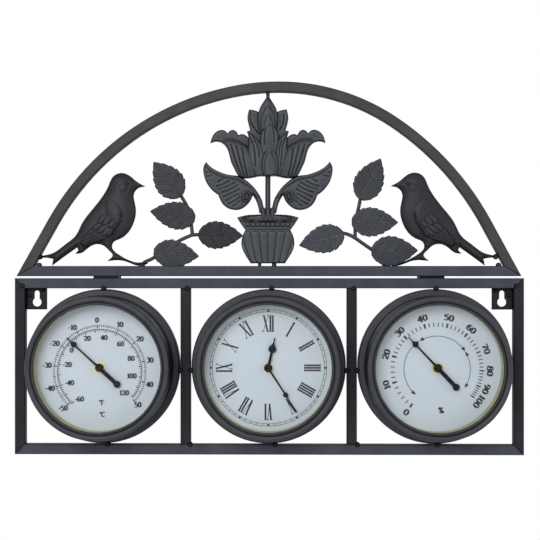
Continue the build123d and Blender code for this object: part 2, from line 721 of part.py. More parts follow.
with BuildPart() as motor:
    with BuildSketch(movement_plane(MOTOR_BACK, (MOTOR_TOP + MOTOR_FOOT) / 2)):
        Rectangle(MOVEMENT_INNER - 2 * MOTOR_FIT, MOTOR_TOP - MOTOR_FOOT)
    extrude(amount=MOTOR_FRONT - MOTOR_BACK)
    with BuildSketch(movement_plane(MOTOR_BACK, GEAR_CENTRES)):
        Circle(KNOB_ARBOR_R + RUNNING_FIT)
    extrude(amount=MOTOR_FRONT - MOTOR_BACK, mode=Mode.SUBTRACT)
    with BuildSketch(case_front(0, ARBOR_PIVOT_BACK - END_SHAKE)):
        Circle(ARBOR_PIVOT_R + RUNNING_FIT)
    extrude(amount=MOTOR_FRONT - ARBOR_PIVOT_BACK + END_SHAKE, mode=Mode.SUBTRACT)
keep_part(motor, "motor_block")

with BuildPart() as board:
    with BuildSketch(movement_plane(MOTOR_BACK - BOARD_THICK, BOARD_LIFT)):
        Rectangle(BOARD_WIDTH, BOARD_HEIGHT)
    extrude(amount=BOARD_THICK)
keep_part(board, "circuit_board")

CELL_END = CELL_LENGTH / 2
with BuildPart() as battery:
    with BuildSketch(Plane(origin=(-CELL_END, -CELL_DEPTH, CASE_Z - CELL_DROP), z_dir=(1, 0, 0))):
        Circle(CELL_R)
    extrude(amount=CELL_LENGTH)
    with BuildSketch(Plane(origin=(CELL_END, -CELL_DEPTH, CASE_Z - CELL_DROP), z_dir=(1, 0, 0))):
        Circle(CELL_NUB_R)
    extrude(amount=CELL_NUB)
    chamfer(battery.edges().filter_by(GeomType.CIRCLE).sort_by(Axis.X)[0], CONTACT_THICK)
keep_part(battery, "battery_cell")

with BuildPart() as contacts:
    for side, cell_end in ((-1, CELL_END), (1, CELL_END + CELL_NUB)):
        wall_x = MOVEMENT_INNER / 2
        plate_x = wall_x - CONTACT_THICK
        with BuildSketch(Plane(origin=(side * wall_x, -CELL_DEPTH, CASE_Z - CELL_DROP),
                               x_dir=(0, 1, 0), z_dir=(-side, 0, 0))):
            Rectangle(CONTACT_WIDTH, CONTACT_WIDTH)
        extrude(amount=CONTACT_THICK)
        with BuildSketch(Plane(origin=(side * plate_x, -CELL_DEPTH, CASE_Z - CELL_DROP),
                               x_dir=(0, 1, 0), z_dir=(-side, 0, 0))):
            Circle(CONTACT_R)
        extrude(amount=plate_x - cell_end)
keep_part(contacts, "battery_contacts")


# Clock hands, with the gears that turn them together

def toothed_disc(teeth, centre, phase):
    """Gear outline round a centre, its first tooth turned to the phase, in degrees."""
    module = 2 * GEAR_CENTRES / GEAR_SUM[teeth]
    tip_r = module * (teeth / 2 + ADDENDUM)
    root_r = module * (teeth / 2 - DEDENDUM)
    step = 2 * pi / teeth
    corners = []
    for tooth in range(teeth):
        middle = radians(phase) + tooth * step
        for radius, share in ((root_r, -TOOTH_SHARE), (tip_r, -TOOTH_TIP_SHARE),
                              (tip_r, TOOTH_TIP_SHARE), (root_r, TOOTH_SHARE)):
            angle = middle + share * step
            corners.append((centre[0] + radius * cos(angle), centre[1] + radius * sin(angle)))
    with BuildSketch(Plane.XY) as wheel:
        with BuildLine():
            Polyline(*corners, close=True)
        make_face()
    return wheel.sketch_local


GEAR_SUM = {HOUR_WHEEL_TEETH: HOUR_WHEEL_TEETH + HOUR_PINION_TEETH,
            HOUR_PINION_TEETH: HOUR_WHEEL_TEETH + HOUR_PINION_TEETH,
            MINUTE_WHEEL_TEETH: MINUTE_WHEEL_TEETH + CANNON_TEETH,
            CANNON_TEETH: MINUTE_WHEEL_TEETH + CANNON_TEETH}
UP = 90
DOWN = -90
AXIS_MIDDLE = (0, 0)
KNOB_MIDDLE = (0, GEAR_CENTRES)

with BuildPart() as hour_hand:
    with BuildSketch(case_front(0, HOUR_HAND_DEPTH, HOUR_HAND_ANGLE)):
        Circle(HOUR_HUB_R)
        add(spade_blade(HOUR_BAR, HOUR_NECK, HOUR_DISC_R, HOUR_DISC_REACH, HOUR_SHOULDER, HOUR_REACH))
    extrude(amount=HAND_THICK)
    with BuildSketch(case_front(0, HOUR_WHEEL_BACK)):
        Circle(HOUR_PIPE_R)
    extrude(amount=HOUR_HAND_DEPTH + HAND_THICK - HOUR_WHEEL_BACK)
    with BuildSketch(case_front(0, HOUR_WHEEL_BACK)):
        add(toothed_disc(HOUR_WHEEL_TEETH, AXIS_MIDDLE, UP + 180 / HOUR_WHEEL_TEETH))
    extrude(amount=HOUR_WHEEL_THICK)
    with BuildSketch(case_front(0, HOUR_WHEEL_BACK)):
        Circle(MINUTE_BORE_R)
    extrude(amount=HOUR_HAND_DEPTH + HAND_THICK - HOUR_WHEEL_BACK, mode=Mode.SUBTRACT)
keep_part(hour_hand, "hour_hand")

with BuildPart() as minute_hand:
    with BuildSketch(case_front(0, MINUTE_HAND_DEPTH, MINUTE_HAND_ANGLE)):
        Circle(MINUTE_HUB_R)
        add(spade_blade(MINUTE_BAR, MINUTE_NECK, MINUTE_DISC_R, MINUTE_DISC_REACH, MINUTE_SHOULDER,
                        MINUTE_REACH))
    extrude(amount=HAND_THICK)
    with BuildSketch(case_front(0, MOTOR_FRONT + END_SHAKE)):
        Circle(MINUTE_ARBOR_R)
    extrude(amount=MINUTE_HAND_DEPTH + 2 * HAND_THICK - MOTOR_FRONT - END_SHAKE)
    with BuildSketch(case_front(0, MINUTE_WHEEL_BACK - PINION_MARGIN)):
        add(toothed_disc(CANNON_TEETH, AXIS_MIDDLE, UP))
    extrude(amount=MINUTE_WHEEL_THICK + 2 * PINION_MARGIN)
    with BuildSketch(case_front(0, ARBOR_PIVOT_BACK)):
        Circle(ARBOR_PIVOT_R)
    extrude(amount=MOTOR_FRONT + END_SHAKE - ARBOR_PIVOT_BACK)
keep_part(minute_hand, "minute_hand")

KNOB_FRONT = MOVEMENT_BACK - KNOB_GAP
with BuildPart() as set_knob:
    with BuildSketch(case_front(0, KNOB_FRONT)):
        with Locations(KNOB_MIDDLE):
            Circle(KNOB_ARBOR_R)
    extrude(amount=CASE_FLOOR - END_SHAKE - KNOB_FRONT)
    with BuildSketch(case_front(0, KNOB_FRONT - KNOB_THICK)):
        with Locations(KNOB_MIDDLE):
            Circle(KNOB_R)
            with PolarLocations(KNOB_R, KNOB_FLUTES):
                Circle(KNOB_FLUTE_R, mode=Mode.SUBTRACT)
    extrude(amount=KNOB_THICK)
    with BuildSketch(case_front(0, MINUTE_WHEEL_BACK)):
        add(toothed_disc(MINUTE_WHEEL_TEETH, KNOB_MIDDLE, DOWN + 180 / MINUTE_WHEEL_TEETH))
    extrude(amount=MINUTE_WHEEL_THICK)
    with BuildSketch(case_front(0, HOUR_WHEEL_BACK - PINION_MARGIN)):
        add(toothed_disc(HOUR_PINION_TEETH, KNOB_MIDDLE, DOWN))
    extrude(amount=HOUR_WHEEL_THICK + 2 * PINION_MARGIN)
keep_part(set_knob, "set_knob")

# Hinges, each with two outer knuckles on the frame's leaf and a middle one on the panel's leaf
OUTER_KNUCKLE = (HINGE_LENGTH - KNUCKLE_MIDDLE) / 2 - KNUCKLE_GAP
OUTER_MIDDLE = (HINGE_LENGTH - OUTER_KNUCKLE) / 2
NOTCH_Y = HINGE_Y - KNUCKLE_R - KNUCKLE_GAP
LEAF_FRONT = LEAF_SETBACK - TUBE


def hinge_section(x):
    """Plane across the hinge line."""
    return Plane(origin=(x, HINGE_Y, HINGE_Z), x_dir=(0, 1, 0), z_dir=(1, 0, 0))


def make_leaves(name, plane, middles, length):
    """Both flat leaves on one side of the hinges, with the tabs and knuckles that the pins go through."""
    with BuildPart() as leaves:
        with BuildSketch(plane):
            with Locations(*[(side * HINGE_X, (LEAF_FRONT + NOTCH_Y) / 2) for side in (-1, 1)]):
                Rectangle(HINGE_LENGTH, NOTCH_Y - LEAF_FRONT)
            with Locations(*[(x, (LEAF_FRONT + HINGE_Y) / 2) for x in middles]):
                Rectangle(length, HINGE_Y - LEAF_FRONT)
        extrude(amount=LEAF_THICK)
        for radius, mode in ((KNUCKLE_R, Mode.ADD), (PIN_R + RUNNING_FIT, Mode.SUBTRACT)):
            for middle in middles:
                with BuildSketch(hinge_section(middle - length / 2)):
                    Circle(radius)
                extrude(amount=length, mode=mode)
    keep_part(leaves, name)


make_leaves("hinge_lower_leaves", Plane.XY.offset(FRAME_TOP),
            [side * HINGE_X + way * OUTER_MIDDLE for side in (-1, 1) for way in (-1, 1)], OUTER_KNUCKLE)
make_leaves("hinge_upper_leaves", Plane.XY.offset(HINGE_Z), [-HINGE_X, HINGE_X], KNUCKLE_MIDDLE)

with BuildPart() as pins:
    for side in (-1, 1):
        pin_start = side * HINGE_X - HINGE_LENGTH / 2
        for start, radius, length in ((pin_start, PIN_R, HINGE_LENGTH),
                                      (pin_start - PIN_HEAD, PIN_HEAD_R, PIN_HEAD),
                                      (pin_start + HINGE_LENGTH, PIN_HEAD_R, PIN_HEAD)):
            with BuildSketch(hinge_section(start)):
                Circle(radius)
            extrude(amount=length)
keep_part(pins, "hinge_pins")


# Arched tube and sill of the panel

def flank_end(flank):
    """Where the outer edge's bends end on one side."""
    crown = radians(flank["crown_end"])
    last = radians(flank["flank_end"])
    across = flank["crown_r"] * sin(crown) + flank["flank_r"] * (sin(last) - sin(crown))
    down = flank["crown_r"] * (1 - cos(crown)) + flank["flank_r"] * (cos(crown) - cos(last))
    return ARCH_APEX_X + flank["side"] * across, ARCH_HEIGHT - down


def sill_tip(flank):
    """The panel's outer corner on one side, where the arch's edge would meet the sill's underside."""
    x, z = flank_end(flank)
    return x + flank["side"] * z / tan(radians(flank["flank_end"]))


def arch_mitre(flank, faces_arch):
    """Mitre plane between the arch and the sill, facing one of them."""
    half = radians(flank["flank_end"]) / 2
    way = 1 if faces_arch else -1
    return Plane(origin=(sill_tip(flank), 0, SILL_Z),
                 z_dir=(way * flank["side"] * sin(half), 0, way * cos(half)))


def arch_path(flank):
    """The tube's middle line from the top down one side, carried on past the sill."""
    side = flank["side"]
    inset = TUBE / 2
    with BuildLine(PANEL.offset(inset)) as path:
        crown = JernArc((ARCH_APEX_X, ARCH_HEIGHT - inset), (side, 0), flank["crown_r"] - inset,
                        -side * flank["crown_end"])
        bend = JernArc(crown @ 1, crown % 1, flank["flank_r"] - inset,
                       -side * (flank["flank_end"] - flank["crown_end"]))
        straight = flank_end(flank)[1] / sin(radians(flank["flank_end"])) + ARCH_SPARE
        Line(bend @ 1, bend @ 1 + (bend % 1) * straight)
    return path.line


def sweep_arch(width, corner):
    """Square bar bent along the arch, with both ends cut by their mitre planes."""
    arms = []
    for flank in (ARCH_LEFT, ARCH_RIGHT):
        path = arch_path(flank)
        with BuildPart() as arm:
            with BuildSketch(Plane(origin=path @ 0, x_dir=(0, 1, 0), z_dir=path % 0)):
                RectangleRounded(width, width, corner)
            sweep(path=path)
            split(bisect_by=arch_mitre(flank, True))
        arms.append(arm.part)
    with BuildPart() as bar:
        add(arms)
    return bar.part


arch_bar = sweep_arch(TUBE, TUBE_CORNER)
with BuildPart() as arch_tube:
    add(arch_bar)
    add(sweep_arch(BORE, BORE_CORNER), mode=Mode.SUBTRACT)
keep_part(arch_tube, "arch_tube")

with BuildPart() as arch_sill:
    add(square_tube(Plane(origin=(sill_tip(ARCH_LEFT), -TUBE / 2, SILL_Z + TUBE / 2), x_dir=(0, 1, 0),
                          z_dir=(1, 0, 0)), sill_tip(ARCH_RIGHT) - sill_tip(ARCH_LEFT)))
    for flank in (ARCH_LEFT, ARCH_RIGHT):
        split(bisect_by=arch_mitre(flank, False))
keep_part(arch_sill, "arch_sill")

# The tubes' outer forms, which every ornament is cut to where it meets them
with BuildPart() as panel_form:
    add(arch_bar)
    with BuildSketch(PANEL):
        with Locations((0, TUBE / 2)):
            Rectangle(sill_tip(ARCH_RIGHT) - sill_tip(ARCH_LEFT), TUBE)
    extrude(amount=TUBE)

# Birds: outline from the tail over the back to the beak, then down to the twig and back
BIRD_BACK = [(-229, 20.2), (-216.3, 22.8), (-203.3, 31.9), (-193.8, 39.8), (-187.6, 51.5), (-178.4, 64.3),
             (-166, 80.3), (-160.8, 89.8), (-156.3, 98.6), (-148, 102.2), (-140.2, 99.6), (-132.5, 93.4),
             (-124.8, 89.2)]
BIRD_BREAST = [(-124.8, 88.6), (-131.5, 86.9), (-135.6, 81.5), (-134.9, 73), (-133.7, 64), (-135.6, 53.8),
               (-141.2, 43.4), (-149.7, 36.8), (-155.8, 33.6), (-157.4, 29.6), (-150.3, 21.1),
               (-139.9, 15.6), (-130, 13.6), (-122.2, 15.9)]
BIRD_TWIG = [(-122.2, 12.2), (-130, 10.2), (-137.9, 12.3), (-148.4, 15.6), (-155, 15.7), (-161.4, 14.9)]
BIRD_TOE = [(-161.4, 15.7), (-158.8, 17.7), (-156.8, 20.3), (-159.7, 24.8), (-166, 30.3), (-172, 31.7),
            (-181, 28), (-187.6, 23.1), (-193.5, 22.2)]
BIRD_NOTCH = [(-193.5, 23), (-190.9, 26.3), (-192.2, 28.3)]
BIRD_TAIL = [(-192.2, 28.3), (-204.6, 19.5), (-217, 10.4)]
BIRD_FORK = [(-215.7, 17.1), (-223, 18.2), (-229, 18.2)]
BIRD_RUNS = [BIRD_BACK, [BIRD_BACK[-1], BIRD_BREAST[0]], BIRD_BREAST, [BIRD_BREAST[-1], BIRD_TWIG[0]],
             BIRD_TWIG, [BIRD_TWIG[-1], BIRD_TOE[0]], BIRD_TOE, [BIRD_TOE[-1], BIRD_NOTCH[0]], BIRD_NOTCH,
             BIRD_TAIL, [BIRD_TAIL[-1], BIRD_FORK[0]], BIRD_FORK, [BIRD_FORK[-1], BIRD_BACK[0]]]
BIRD_BODY = [[(-189, 38), (-182, 53), (-171, 68.5), (-161.5, 82.5), (-156.5, 93), (-148, 98.6),
              (-141, 94.5), (-139, 84), (-138.3, 73), (-137.4, 63), (-140, 52.5), (-147, 44),
              (-157, 38.6), (-170, 36), (-183, 33), (-189, 38)]]
BIRD_WING = [[(-149.5, 57), (-151, 66.5), (-158, 70), (-169, 63.5), (-179, 53.5), (-187.5, 37.5)],
             [(-187.5, 37.5), (-175, 38.5), (-162, 42), (-153, 48.5), (-149.5, 57)]]


def bird_shift(flank):
    """How far a bird moves along X for its tail to keep its place in the panel's corner."""
    tail_x = -flank["side"] * BIRD_BACK[0][0]
    return sill_tip(flank) - flank["side"] * BIRD_INSETS[flank["side"]] - tail_x


for bird_name, flank in (("bird_left", ARCH_LEFT), ("bird_right", ARCH_RIGHT)):
    side = -flank["side"]
    shift = bird_shift(flank)
    with BuildPart() as bird:
        with BuildSketch(PANEL.offset(ORNAMENT_BACK)):
            add(closed_outline(shifted(BIRD_RUNS, side, shift)))
        extrude(amount=ORNAMENT_THICK)
        with BuildSketch(PANEL.offset(ORNAMENT_FRONT)):
            add(closed_outline(shifted(BIRD_BODY, side, shift)))
        extrude(amount=RELIEF)
        with BuildSketch(PANEL.offset(ORNAMENT_FRONT)):
            add(closed_outline(shifted(BIRD_WING, side, shift)))
        extrude(amount=RELIEF + RELIEF_TOP)
        add(panel_form.part, mode=Mode.SUBTRACT)
    keep_part(bird, bird_name)
    if side > 0:
        left_bird = bird.part
    else:
        right_bird = bird.part

# Flower pot: half outline from the rim's top to the foot
POT_HALF = [[(0, 61), (11, 60.8), (21, 60.2), (30.5, 57.8)], [(30.5, 57.8), (26.9, 52), (22.2, 45.5)],
            [(22.2, 45.5), (24.4, 41.2), (25.8, 36.8), (26.2, 32.4), (25.2, 27), (23.3, 22.8), (19.8, 17),
             (16.9, 12.6)], [(16.9, 12.6), (0, 12.6)]]
POT_RIM_HALF = 29.0
POT_RIM_Z = 57.2
POT_RIM_RISE = 3.4
POT_RIM_WIDTH = 2.2
POT_NECK_Z = 46.8
POT_NECK_HALF = 22.0
POT_RING = 1.6
POT_BEAD_Z = 51.0
POT_BEAD_R = 1.3
POT_BEADS = 9
POT_BEAD_PITCH = 4.9
POT_FLUTES = 6
POT_FLUTE_TOP = 41.5
POT_FLUTE_FOOT = 14.0
POT_FLUTE_PITCH = 8.5
POT_FLUTE_FOOT_PITCH = 5.4
POT_FLUTE_GROOVE = 1.0

with BuildPart() as pot:
    with BuildSketch(PANEL.offset(ORNAMENT_BACK)):
        add(closed_outline(shifted(POT_HALF + reflected(POT_HALF), 1, ORNAMENT_X)))
    extrude(amount=ORNAMENT_THICK)
    with BuildSketch(PANEL.offset(ORNAMENT_FRONT)):
        with Locations((ORNAMENT_X, POT_RIM_Z)):
            Ellipse(POT_RIM_HALF, POT_RIM_RISE)
            Ellipse(POT_RIM_HALF - POT_RIM_WIDTH, POT_RIM_RISE - POT_RIM_WIDTH / 2, mode=Mode.SUBTRACT)
        with Locations((ORNAMENT_X, POT_NECK_Z)):
            Rectangle(2 * POT_NECK_HALF, POT_RING)
    extrude(amount=RELIEF)
    with Locations(*[(ORNAMENT_X + POT_BEAD_PITCH * (bead - (POT_BEADS - 1) / 2), -ORNAMENT_FRONT,
                      SILL_Z + POT_BEAD_Z) for bead in range(POT_BEADS)]):
        Sphere(POT_BEAD_R)
    for flute in range(POT_FLUTES):
        place = flute - (POT_FLUTES - 1) / 2
        top_x = place * POT_FLUTE_PITCH
        foot_x = place * POT_FLUTE_FOOT_PITCH
        top_half = (POT_FLUTE_PITCH - POT_FLUTE_GROOVE) / 2
        foot_half = (POT_FLUTE_FOOT_PITCH - POT_FLUTE_GROOVE) / 2
        shoulder = (POT_FLUTE_TOP + POT_FLUTE_FOOT) / 2
        with BuildSketch(PANEL.offset(ORNAMENT_FRONT)):
            with BuildLine():
                Spline((top_x - top_half, POT_FLUTE_TOP), (top_x - top_half, shoulder),
                       (foot_x - foot_half, POT_FLUTE_FOOT))
                Line((foot_x - foot_half, POT_FLUTE_FOOT), (foot_x + foot_half, POT_FLUTE_FOOT))
                Spline((foot_x + foot_half, POT_FLUTE_FOOT), (top_x + top_half, shoulder),
                       (top_x + top_half, POT_FLUTE_TOP))
                ThreePointArc((top_x + top_half, POT_FLUTE_TOP), (top_x, POT_FLUTE_TOP + top_half),
                              (top_x - top_half, POT_FLUTE_TOP))
            make_face()
        extrude(amount=RELIEF_TOP)
keep_part(pot, "flower_pot")

# Flower: half outline from the stub on the arch round the bud, petal, sepal and scalloped lip
FLOWER_HALF = [[(0, 184), (2, 184)], [(2, 184), (1.7, 176.5)],
               [(1.7, 176.5), (5.1, 171.2), (7.8, 166.5), (9.2, 162.3)],
               [(9.2, 162.3), (13.6, 164), (18.6, 164.7)],
               [(18.6, 164.7), (20.2, 155.8), (19.4, 150.9), (17.5, 143.9)],
               [(17.5, 143.9), (20.8, 143.1)], [(20.8, 143.1), (19, 136.8)],
               [(19, 136.8), (23, 139.8), (26.5, 140.4), (29.2, 139.4)],
               [(29.2, 139.4), (31.5, 143.2), (35, 144.6), (38, 143.3), (39.8, 141.1)],
               [(39.8, 141.1), (42.5, 143.8), (46, 144.6), (51, 142.8), (54.8, 138.3), (56.9, 131.3)],
               [(56.9, 131.3), (53.5, 132.6), (48, 132.6), (42.6, 129.2), (39.3, 123.5), (36.5, 113),
                (33.7, 106.8), (31, 101.5), (28, 98), (23, 96.4)],
               [(23, 96.4), (15, 97), (9.5, 98.2), (0, 98)]]
CUP_HALF = [[(0, 141), (8, 138), (16, 133), (21, 129)],
            [(21, 129), (28, 133), (36, 133), (41, 130.5)],
            [(41, 130.5), (37.5, 122), (34.5, 111.5), (30.5, 103), (25, 99.5)],
            [(25, 99.5), (12, 100), (0, 100.5)]]
FRONT_PETAL_HALF = [[(0, 127), (5, 121), (8, 112), (7.5, 103), (5, 99.5)], [(5, 99.5), (0, 99.5)]]
BUD_HALF = [[(0, 173), (5.5, 166), (8, 157), (9.5, 147), (8, 135)], [(8, 135), (0, 135)]]

with BuildPart() as flower:
    with BuildSketch(PANEL.offset(ORNAMENT_BACK)):
        add(closed_outline(shifted(FLOWER_HALF + reflected(FLOWER_HALF), 1, ORNAMENT_X)))
    extrude(amount=ORNAMENT_THICK)
    for layer_half, rise in ((CUP_HALF, RELIEF_TOP), (BUD_HALF, RELIEF), (FRONT_PETAL_HALF, RELIEF)):
        with BuildSketch(PANEL.offset(ORNAMENT_FRONT)):
            add(closed_outline(shifted(layer_half + reflected(layer_half), 1, ORNAMENT_X)))
        extrude(amount=rise)
    add(panel_form.part, mode=Mode.SUBTRACT)
keep_part(flower, "flower_head")

# Flower stem with its collar in the pot, and the two scroll leaves beside it
COLLAR_HALF = 7.5
COLLAR_Z = 57.0
COLLAR_HEIGHT = 10.0
COLLAR_SLOPE = 80
SCROLL_RUNS = [[(3.2, 62), (4.3, 68.4), (5.9, 75), (9.2, 81.5), (13.2, 87.2), (18.1, 92.1), (23.2, 96),
                (29.8, 99.2), (35.3, 99.8), (40.2, 100.6), (47.5, 103.1), (53.2, 105.9), (58.1, 109.6),
                (61, 113.1)],
               [(61, 113.1), (63.4, 109), (63.9, 103.5), (63, 98.6), (61, 92.9), (58.1, 88.4), (54.1, 83.9),
                (49, 80.2)],
               [(49, 80.2), (47.5, 76.1), (44.3, 70.8), (40.2, 67.5), (35.3, 65.7), (31.2, 65.3),
                (26.3, 66.3), (21.4, 69.6), (17.7, 73.7), (15.9, 77.3), (14.9, 79.8)],
               [(14.9, 79.8), (12, 75), (9.6, 68.4), (8.4, 62)], [(8.4, 62), (3.2, 62)]]
SCROLL_RIB = [[(17, 88.5), (24, 93.5), (34, 96.6), (45, 99.4), (54, 104.4), (60.4, 111.6)],
              [(60.4, 111.6), (53, 101.5), (44, 96.2), (33, 93), (24, 89.5), (17, 88.5)]]
SCROLL_EYE = (21.6, 79.2)
SCROLL_EYE_R = 4.4
SCROLL_EYE_RING = 1.2

with BuildPart() as flower_stem:
    with BuildSketch(Plane.XY.offset(SILL_Z + POT_HALF[0][0][1])):
        with Locations((ORNAMENT_X, -ORNAMENT_BACK - ORNAMENT_THICK / 2)):
            Circle(FLOWER_STEM_R)
    extrude(amount=FLOWER_HALF[-1][-1][1] - POT_HALF[0][0][1])
    with BuildSketch(PANEL.offset(ORNAMENT_BACK)):
        with Locations((ORNAMENT_X, COLLAR_Z + COLLAR_HEIGHT / 2)):
            Trapezoid(2 * COLLAR_HALF, COLLAR_HEIGHT, COLLAR_SLOPE)
    extrude(amount=ORNAMENT_THICK)
    add(pot.part, mode=Mode.SUBTRACT)
    add(flower.part, mode=Mode.SUBTRACT)
keep_part(flower_stem, "flower_stem")

with BuildPart() as scrolls:
    for side in (-1, 1):
        with BuildSketch(PANEL.offset(ORNAMENT_BACK)):
            add(closed_outline(shifted(SCROLL_RUNS, side, ORNAMENT_X)))
        extrude(amount=ORNAMENT_THICK)
        with BuildSketch(PANEL.offset(ORNAMENT_FRONT)):
            add(closed_outline(shifted(SCROLL_RIB, side, ORNAMENT_X)))
            with Locations((ORNAMENT_X + side * SCROLL_EYE[0], SCROLL_EYE[1])):
                Circle(SCROLL_EYE_R)
                Circle(SCROLL_EYE_R - SCROLL_EYE_RING, mode=Mode.SUBTRACT)
        extrude(amount=RELIEF_TOP)
    add(flower.part, mode=Mode.SUBTRACT)
    add(flower_stem.part, mode=Mode.SUBTRACT)
keep_part(scrolls, "scroll_leaves")

# Leaf sprays: each leaf by its base, its tip and its width, and each stem by its bends
LEFT_LEAVES = [((-86.2, 77.8), (-113.5, 112.6), 29.0), ((-71.5, 56.5), (-117, 64.1), 27.0),
               ((-70, 41), (-25.2, 39.8), 27.0), ((-114.3, 24), (-68.5, 19.5), 27.5)]
RIGHT_LEAVES = [((89.8, 74.7), (110.2, 115.7), 28.5), ((80.7, 53.6), (127.4, 52.7), 28.5),
                ((74.8, 41.6), (29.9, 30.1), 27.5), ((100, 24.2), (146.8, 25.3), 29.5)]
LEFT_STEMS = [[(-86.5, 79), (-80.8, 69), (-77, 55), (-75.3, 40.8)], [(-65, 41), (-75.3, 40.8)],
              [(-75.3, 40.8), (-87, 35.6), (-113.4, 18.2), (-122.6, 13.9)]]
RIGHT_STEMS = [[(91, 79), (88.3, 66), (85.5, 50), (85.2, 37.6)], [(69, 43), (78, 41.2), (85.2, 37.6)],
               [(85.2, 37.6), (100.3, 27), (120, 13.8)]]
LEAF_WIDEST = 0.4
LEAF_TIP = 0.8


def leaf_half_width(share, width):
    """Half the leaf's width at a share of its length, rounded at the base and drawn out at the tip."""
    base_power = LEAF_TIP * LEAF_WIDEST / (1 - LEAF_WIDEST)
    peak = LEAF_WIDEST ** base_power * (1 - LEAF_WIDEST) ** LEAF_TIP
    return width / 2 * share ** base_power * (1 - share) ** LEAF_TIP / peak


def leaf_plane(base, tip, depth):
    """Front-facing plane at a leaf's base, with its own X towards the tip."""
    length = hypot(tip[0] - base[0], tip[1] - base[1])
    along = ((tip[0] - base[0]) / length, 0, (tip[1] - base[1]) / length)
    return Plane(origin=(base[0], -depth, SILL_Z + base[1]), x_dir=along, z_dir=(0, -1, 0)), length


def serrated_side(length, width, side):
    """Points of one toothed edge, from the base to the tip."""
    points = []
    for tooth in range(LEAF_TEETH):
        peak_at = (tooth + LEAF_TOOTH_TIP) / LEAF_TEETH
        valley_at = (tooth + 1) / LEAF_TEETH
        points.append((length * peak_at, side * (leaf_half_width(peak_at, width) + LEAF_TOOTH / 2)))
        if tooth < LEAF_TEETH - 1:
            points.append((length * valley_at, side * (leaf_half_width(valley_at, width) - LEAF_TOOTH / 2)))
    return points


def make_leaf(base, tip, width):
    """Pressed leaf with a toothed edge, a middle rib and slanting veins."""
    plane, length = leaf_plane(base, tip, ORNAMENT_FRONT)
    with BuildPart() as one_leaf:
        with BuildSketch(plane):
            with BuildLine():
                Polyline((0, -LEAF_FOOT * width), *serrated_side(length, width, -1), (length, 0),
                         *reversed(serrated_side(length, width, 1)), (0, LEAF_FOOT * width), close=True)
            make_face()
        extrude(amount=LEAF_SHEET)
        with BuildSketch(plane.offset(LEAF_SHEET)):
            with Locations((length / 2, 0)):
                Rectangle(length, LEAF_RIB)
            for pair in range(LEAF_VEIN_PAIRS):
                start = (pair + LEAF_VEIN_START) / (LEAF_VEIN_PAIRS + 1)
                reach = LEAF_VEIN_SHARE * leaf_half_width(start, width) / sin(radians(VEIN_ANGLE))
                for side in (-1, 1):
                    angle = side * radians(VEIN_ANGLE)
                    with Locations((start * length + reach / 2 * cos(angle), reach / 2 * sin(angle))):
                        Rectangle(reach, LEAF_VEIN, rotation=side * VEIN_ANGLE)
            with Locations((length * LEAF_RIB_MIDDLE, 0)):
                Ellipse(length * LEAF_RIB_SHARE / 2, width * LEAF_VEIN_WIDTH, mode=Mode.INTERSECT)
        extrude(amount=LEAF_VEIN_RISE)
    return one_leaf.part


def make_stem(bends):
    """Round rod through its bends, with a ball at each one."""
    depth = ORNAMENT_FRONT - STEM_R
    with BuildPart() as rod:
        for start, end in zip(bends, bends[1:]):
            span = (end[0] - start[0], 0, end[1] - start[1])
            with BuildSketch(Plane(origin=(start[0], -depth, SILL_Z + start[1]), z_dir=span)):
                Circle(STEM_R)
            extrude(amount=hypot(span[0], span[2]))
        with Locations(*[(x, -depth, SILL_Z + z) for x, z in bends]):
            Sphere(STEM_R)
    return rod.part


sprays = []
for spray_name, leaves, stems, near_bird in (("left", LEFT_LEAVES, LEFT_STEMS, left_bird),
                                             ("right", RIGHT_LEAVES, RIGHT_STEMS, right_bird)):
    with BuildPart() as spray_stems:
        for bends in stems:
            add(make_stem(bends))
        add(near_bird, mode=Mode.SUBTRACT)
        add(panel_form.part, mode=Mode.SUBTRACT)
    keep_part(spray_stems, "stems_" + spray_name)
    with BuildPart() as spray_leaves:
        for base, tip, width in leaves:
            add(make_leaf(base, tip, width))
        add(near_bird, mode=Mode.SUBTRACT)
        add(pot.part, mode=Mode.SUBTRACT)
        add(panel_form.part, mode=Mode.SUBTRACT)
    keep_part(spray_leaves, "leaves_" + spray_name)
    sprays += [spray_stems.part, spray_leaves.part]

# Weld beads on the panel: in the arch's corners, at the tails and twigs, and under the pot
CORNER_INSET = 21.5
BIRD_BEADS = [(ARCH_LEFT, -226.2, 19.2), (ARCH_LEFT, -125.0, 10.6), (ARCH_RIGHT, 227.4, 19.2),
              (ARCH_RIGHT, 128.0, 10.8), (ARCH_RIGHT, 118.5, 10.6)]
POT_STUDS = [(-8.9, 3.4), (5.4, 4.6)]
STUD_DEPTH = 4.6
BEAD_Z = TUBE + 0.6

with BuildPart() as panel_beads:
    corner_beads = [(sill_tip(flank) - flank["side"] * CORNER_INSET, BEAD_Z)
                    for flank in (ARCH_LEFT, ARCH_RIGHT)]
    bird_beads = [(x + bird_shift(flank), z) for flank, x, z in BIRD_BEADS]
    with Locations(*[(x, -STUD_DEPTH, SILL_Z + z) for x, z in corner_beads + bird_beads]):
        Sphere(BEAD_R)
    for x, width in POT_STUDS:
        with BuildSketch(Plane.XY.offset(SILL_Z + TUBE)):
            with Locations((x, -STUD_DEPTH)):
                Circle(width / 2)
        extrude(amount=POT_HALF[-1][0][1] - TUBE)
    for piece in (panel_form.part, left_bird, right_bird, pot.part, *sprays):
        add(piece, mode=Mode.SUBTRACT)
    split(bisect_by=FRONT, keep=Keep.TOP)
keep_part(panel_beads, "arch_weld_beads")
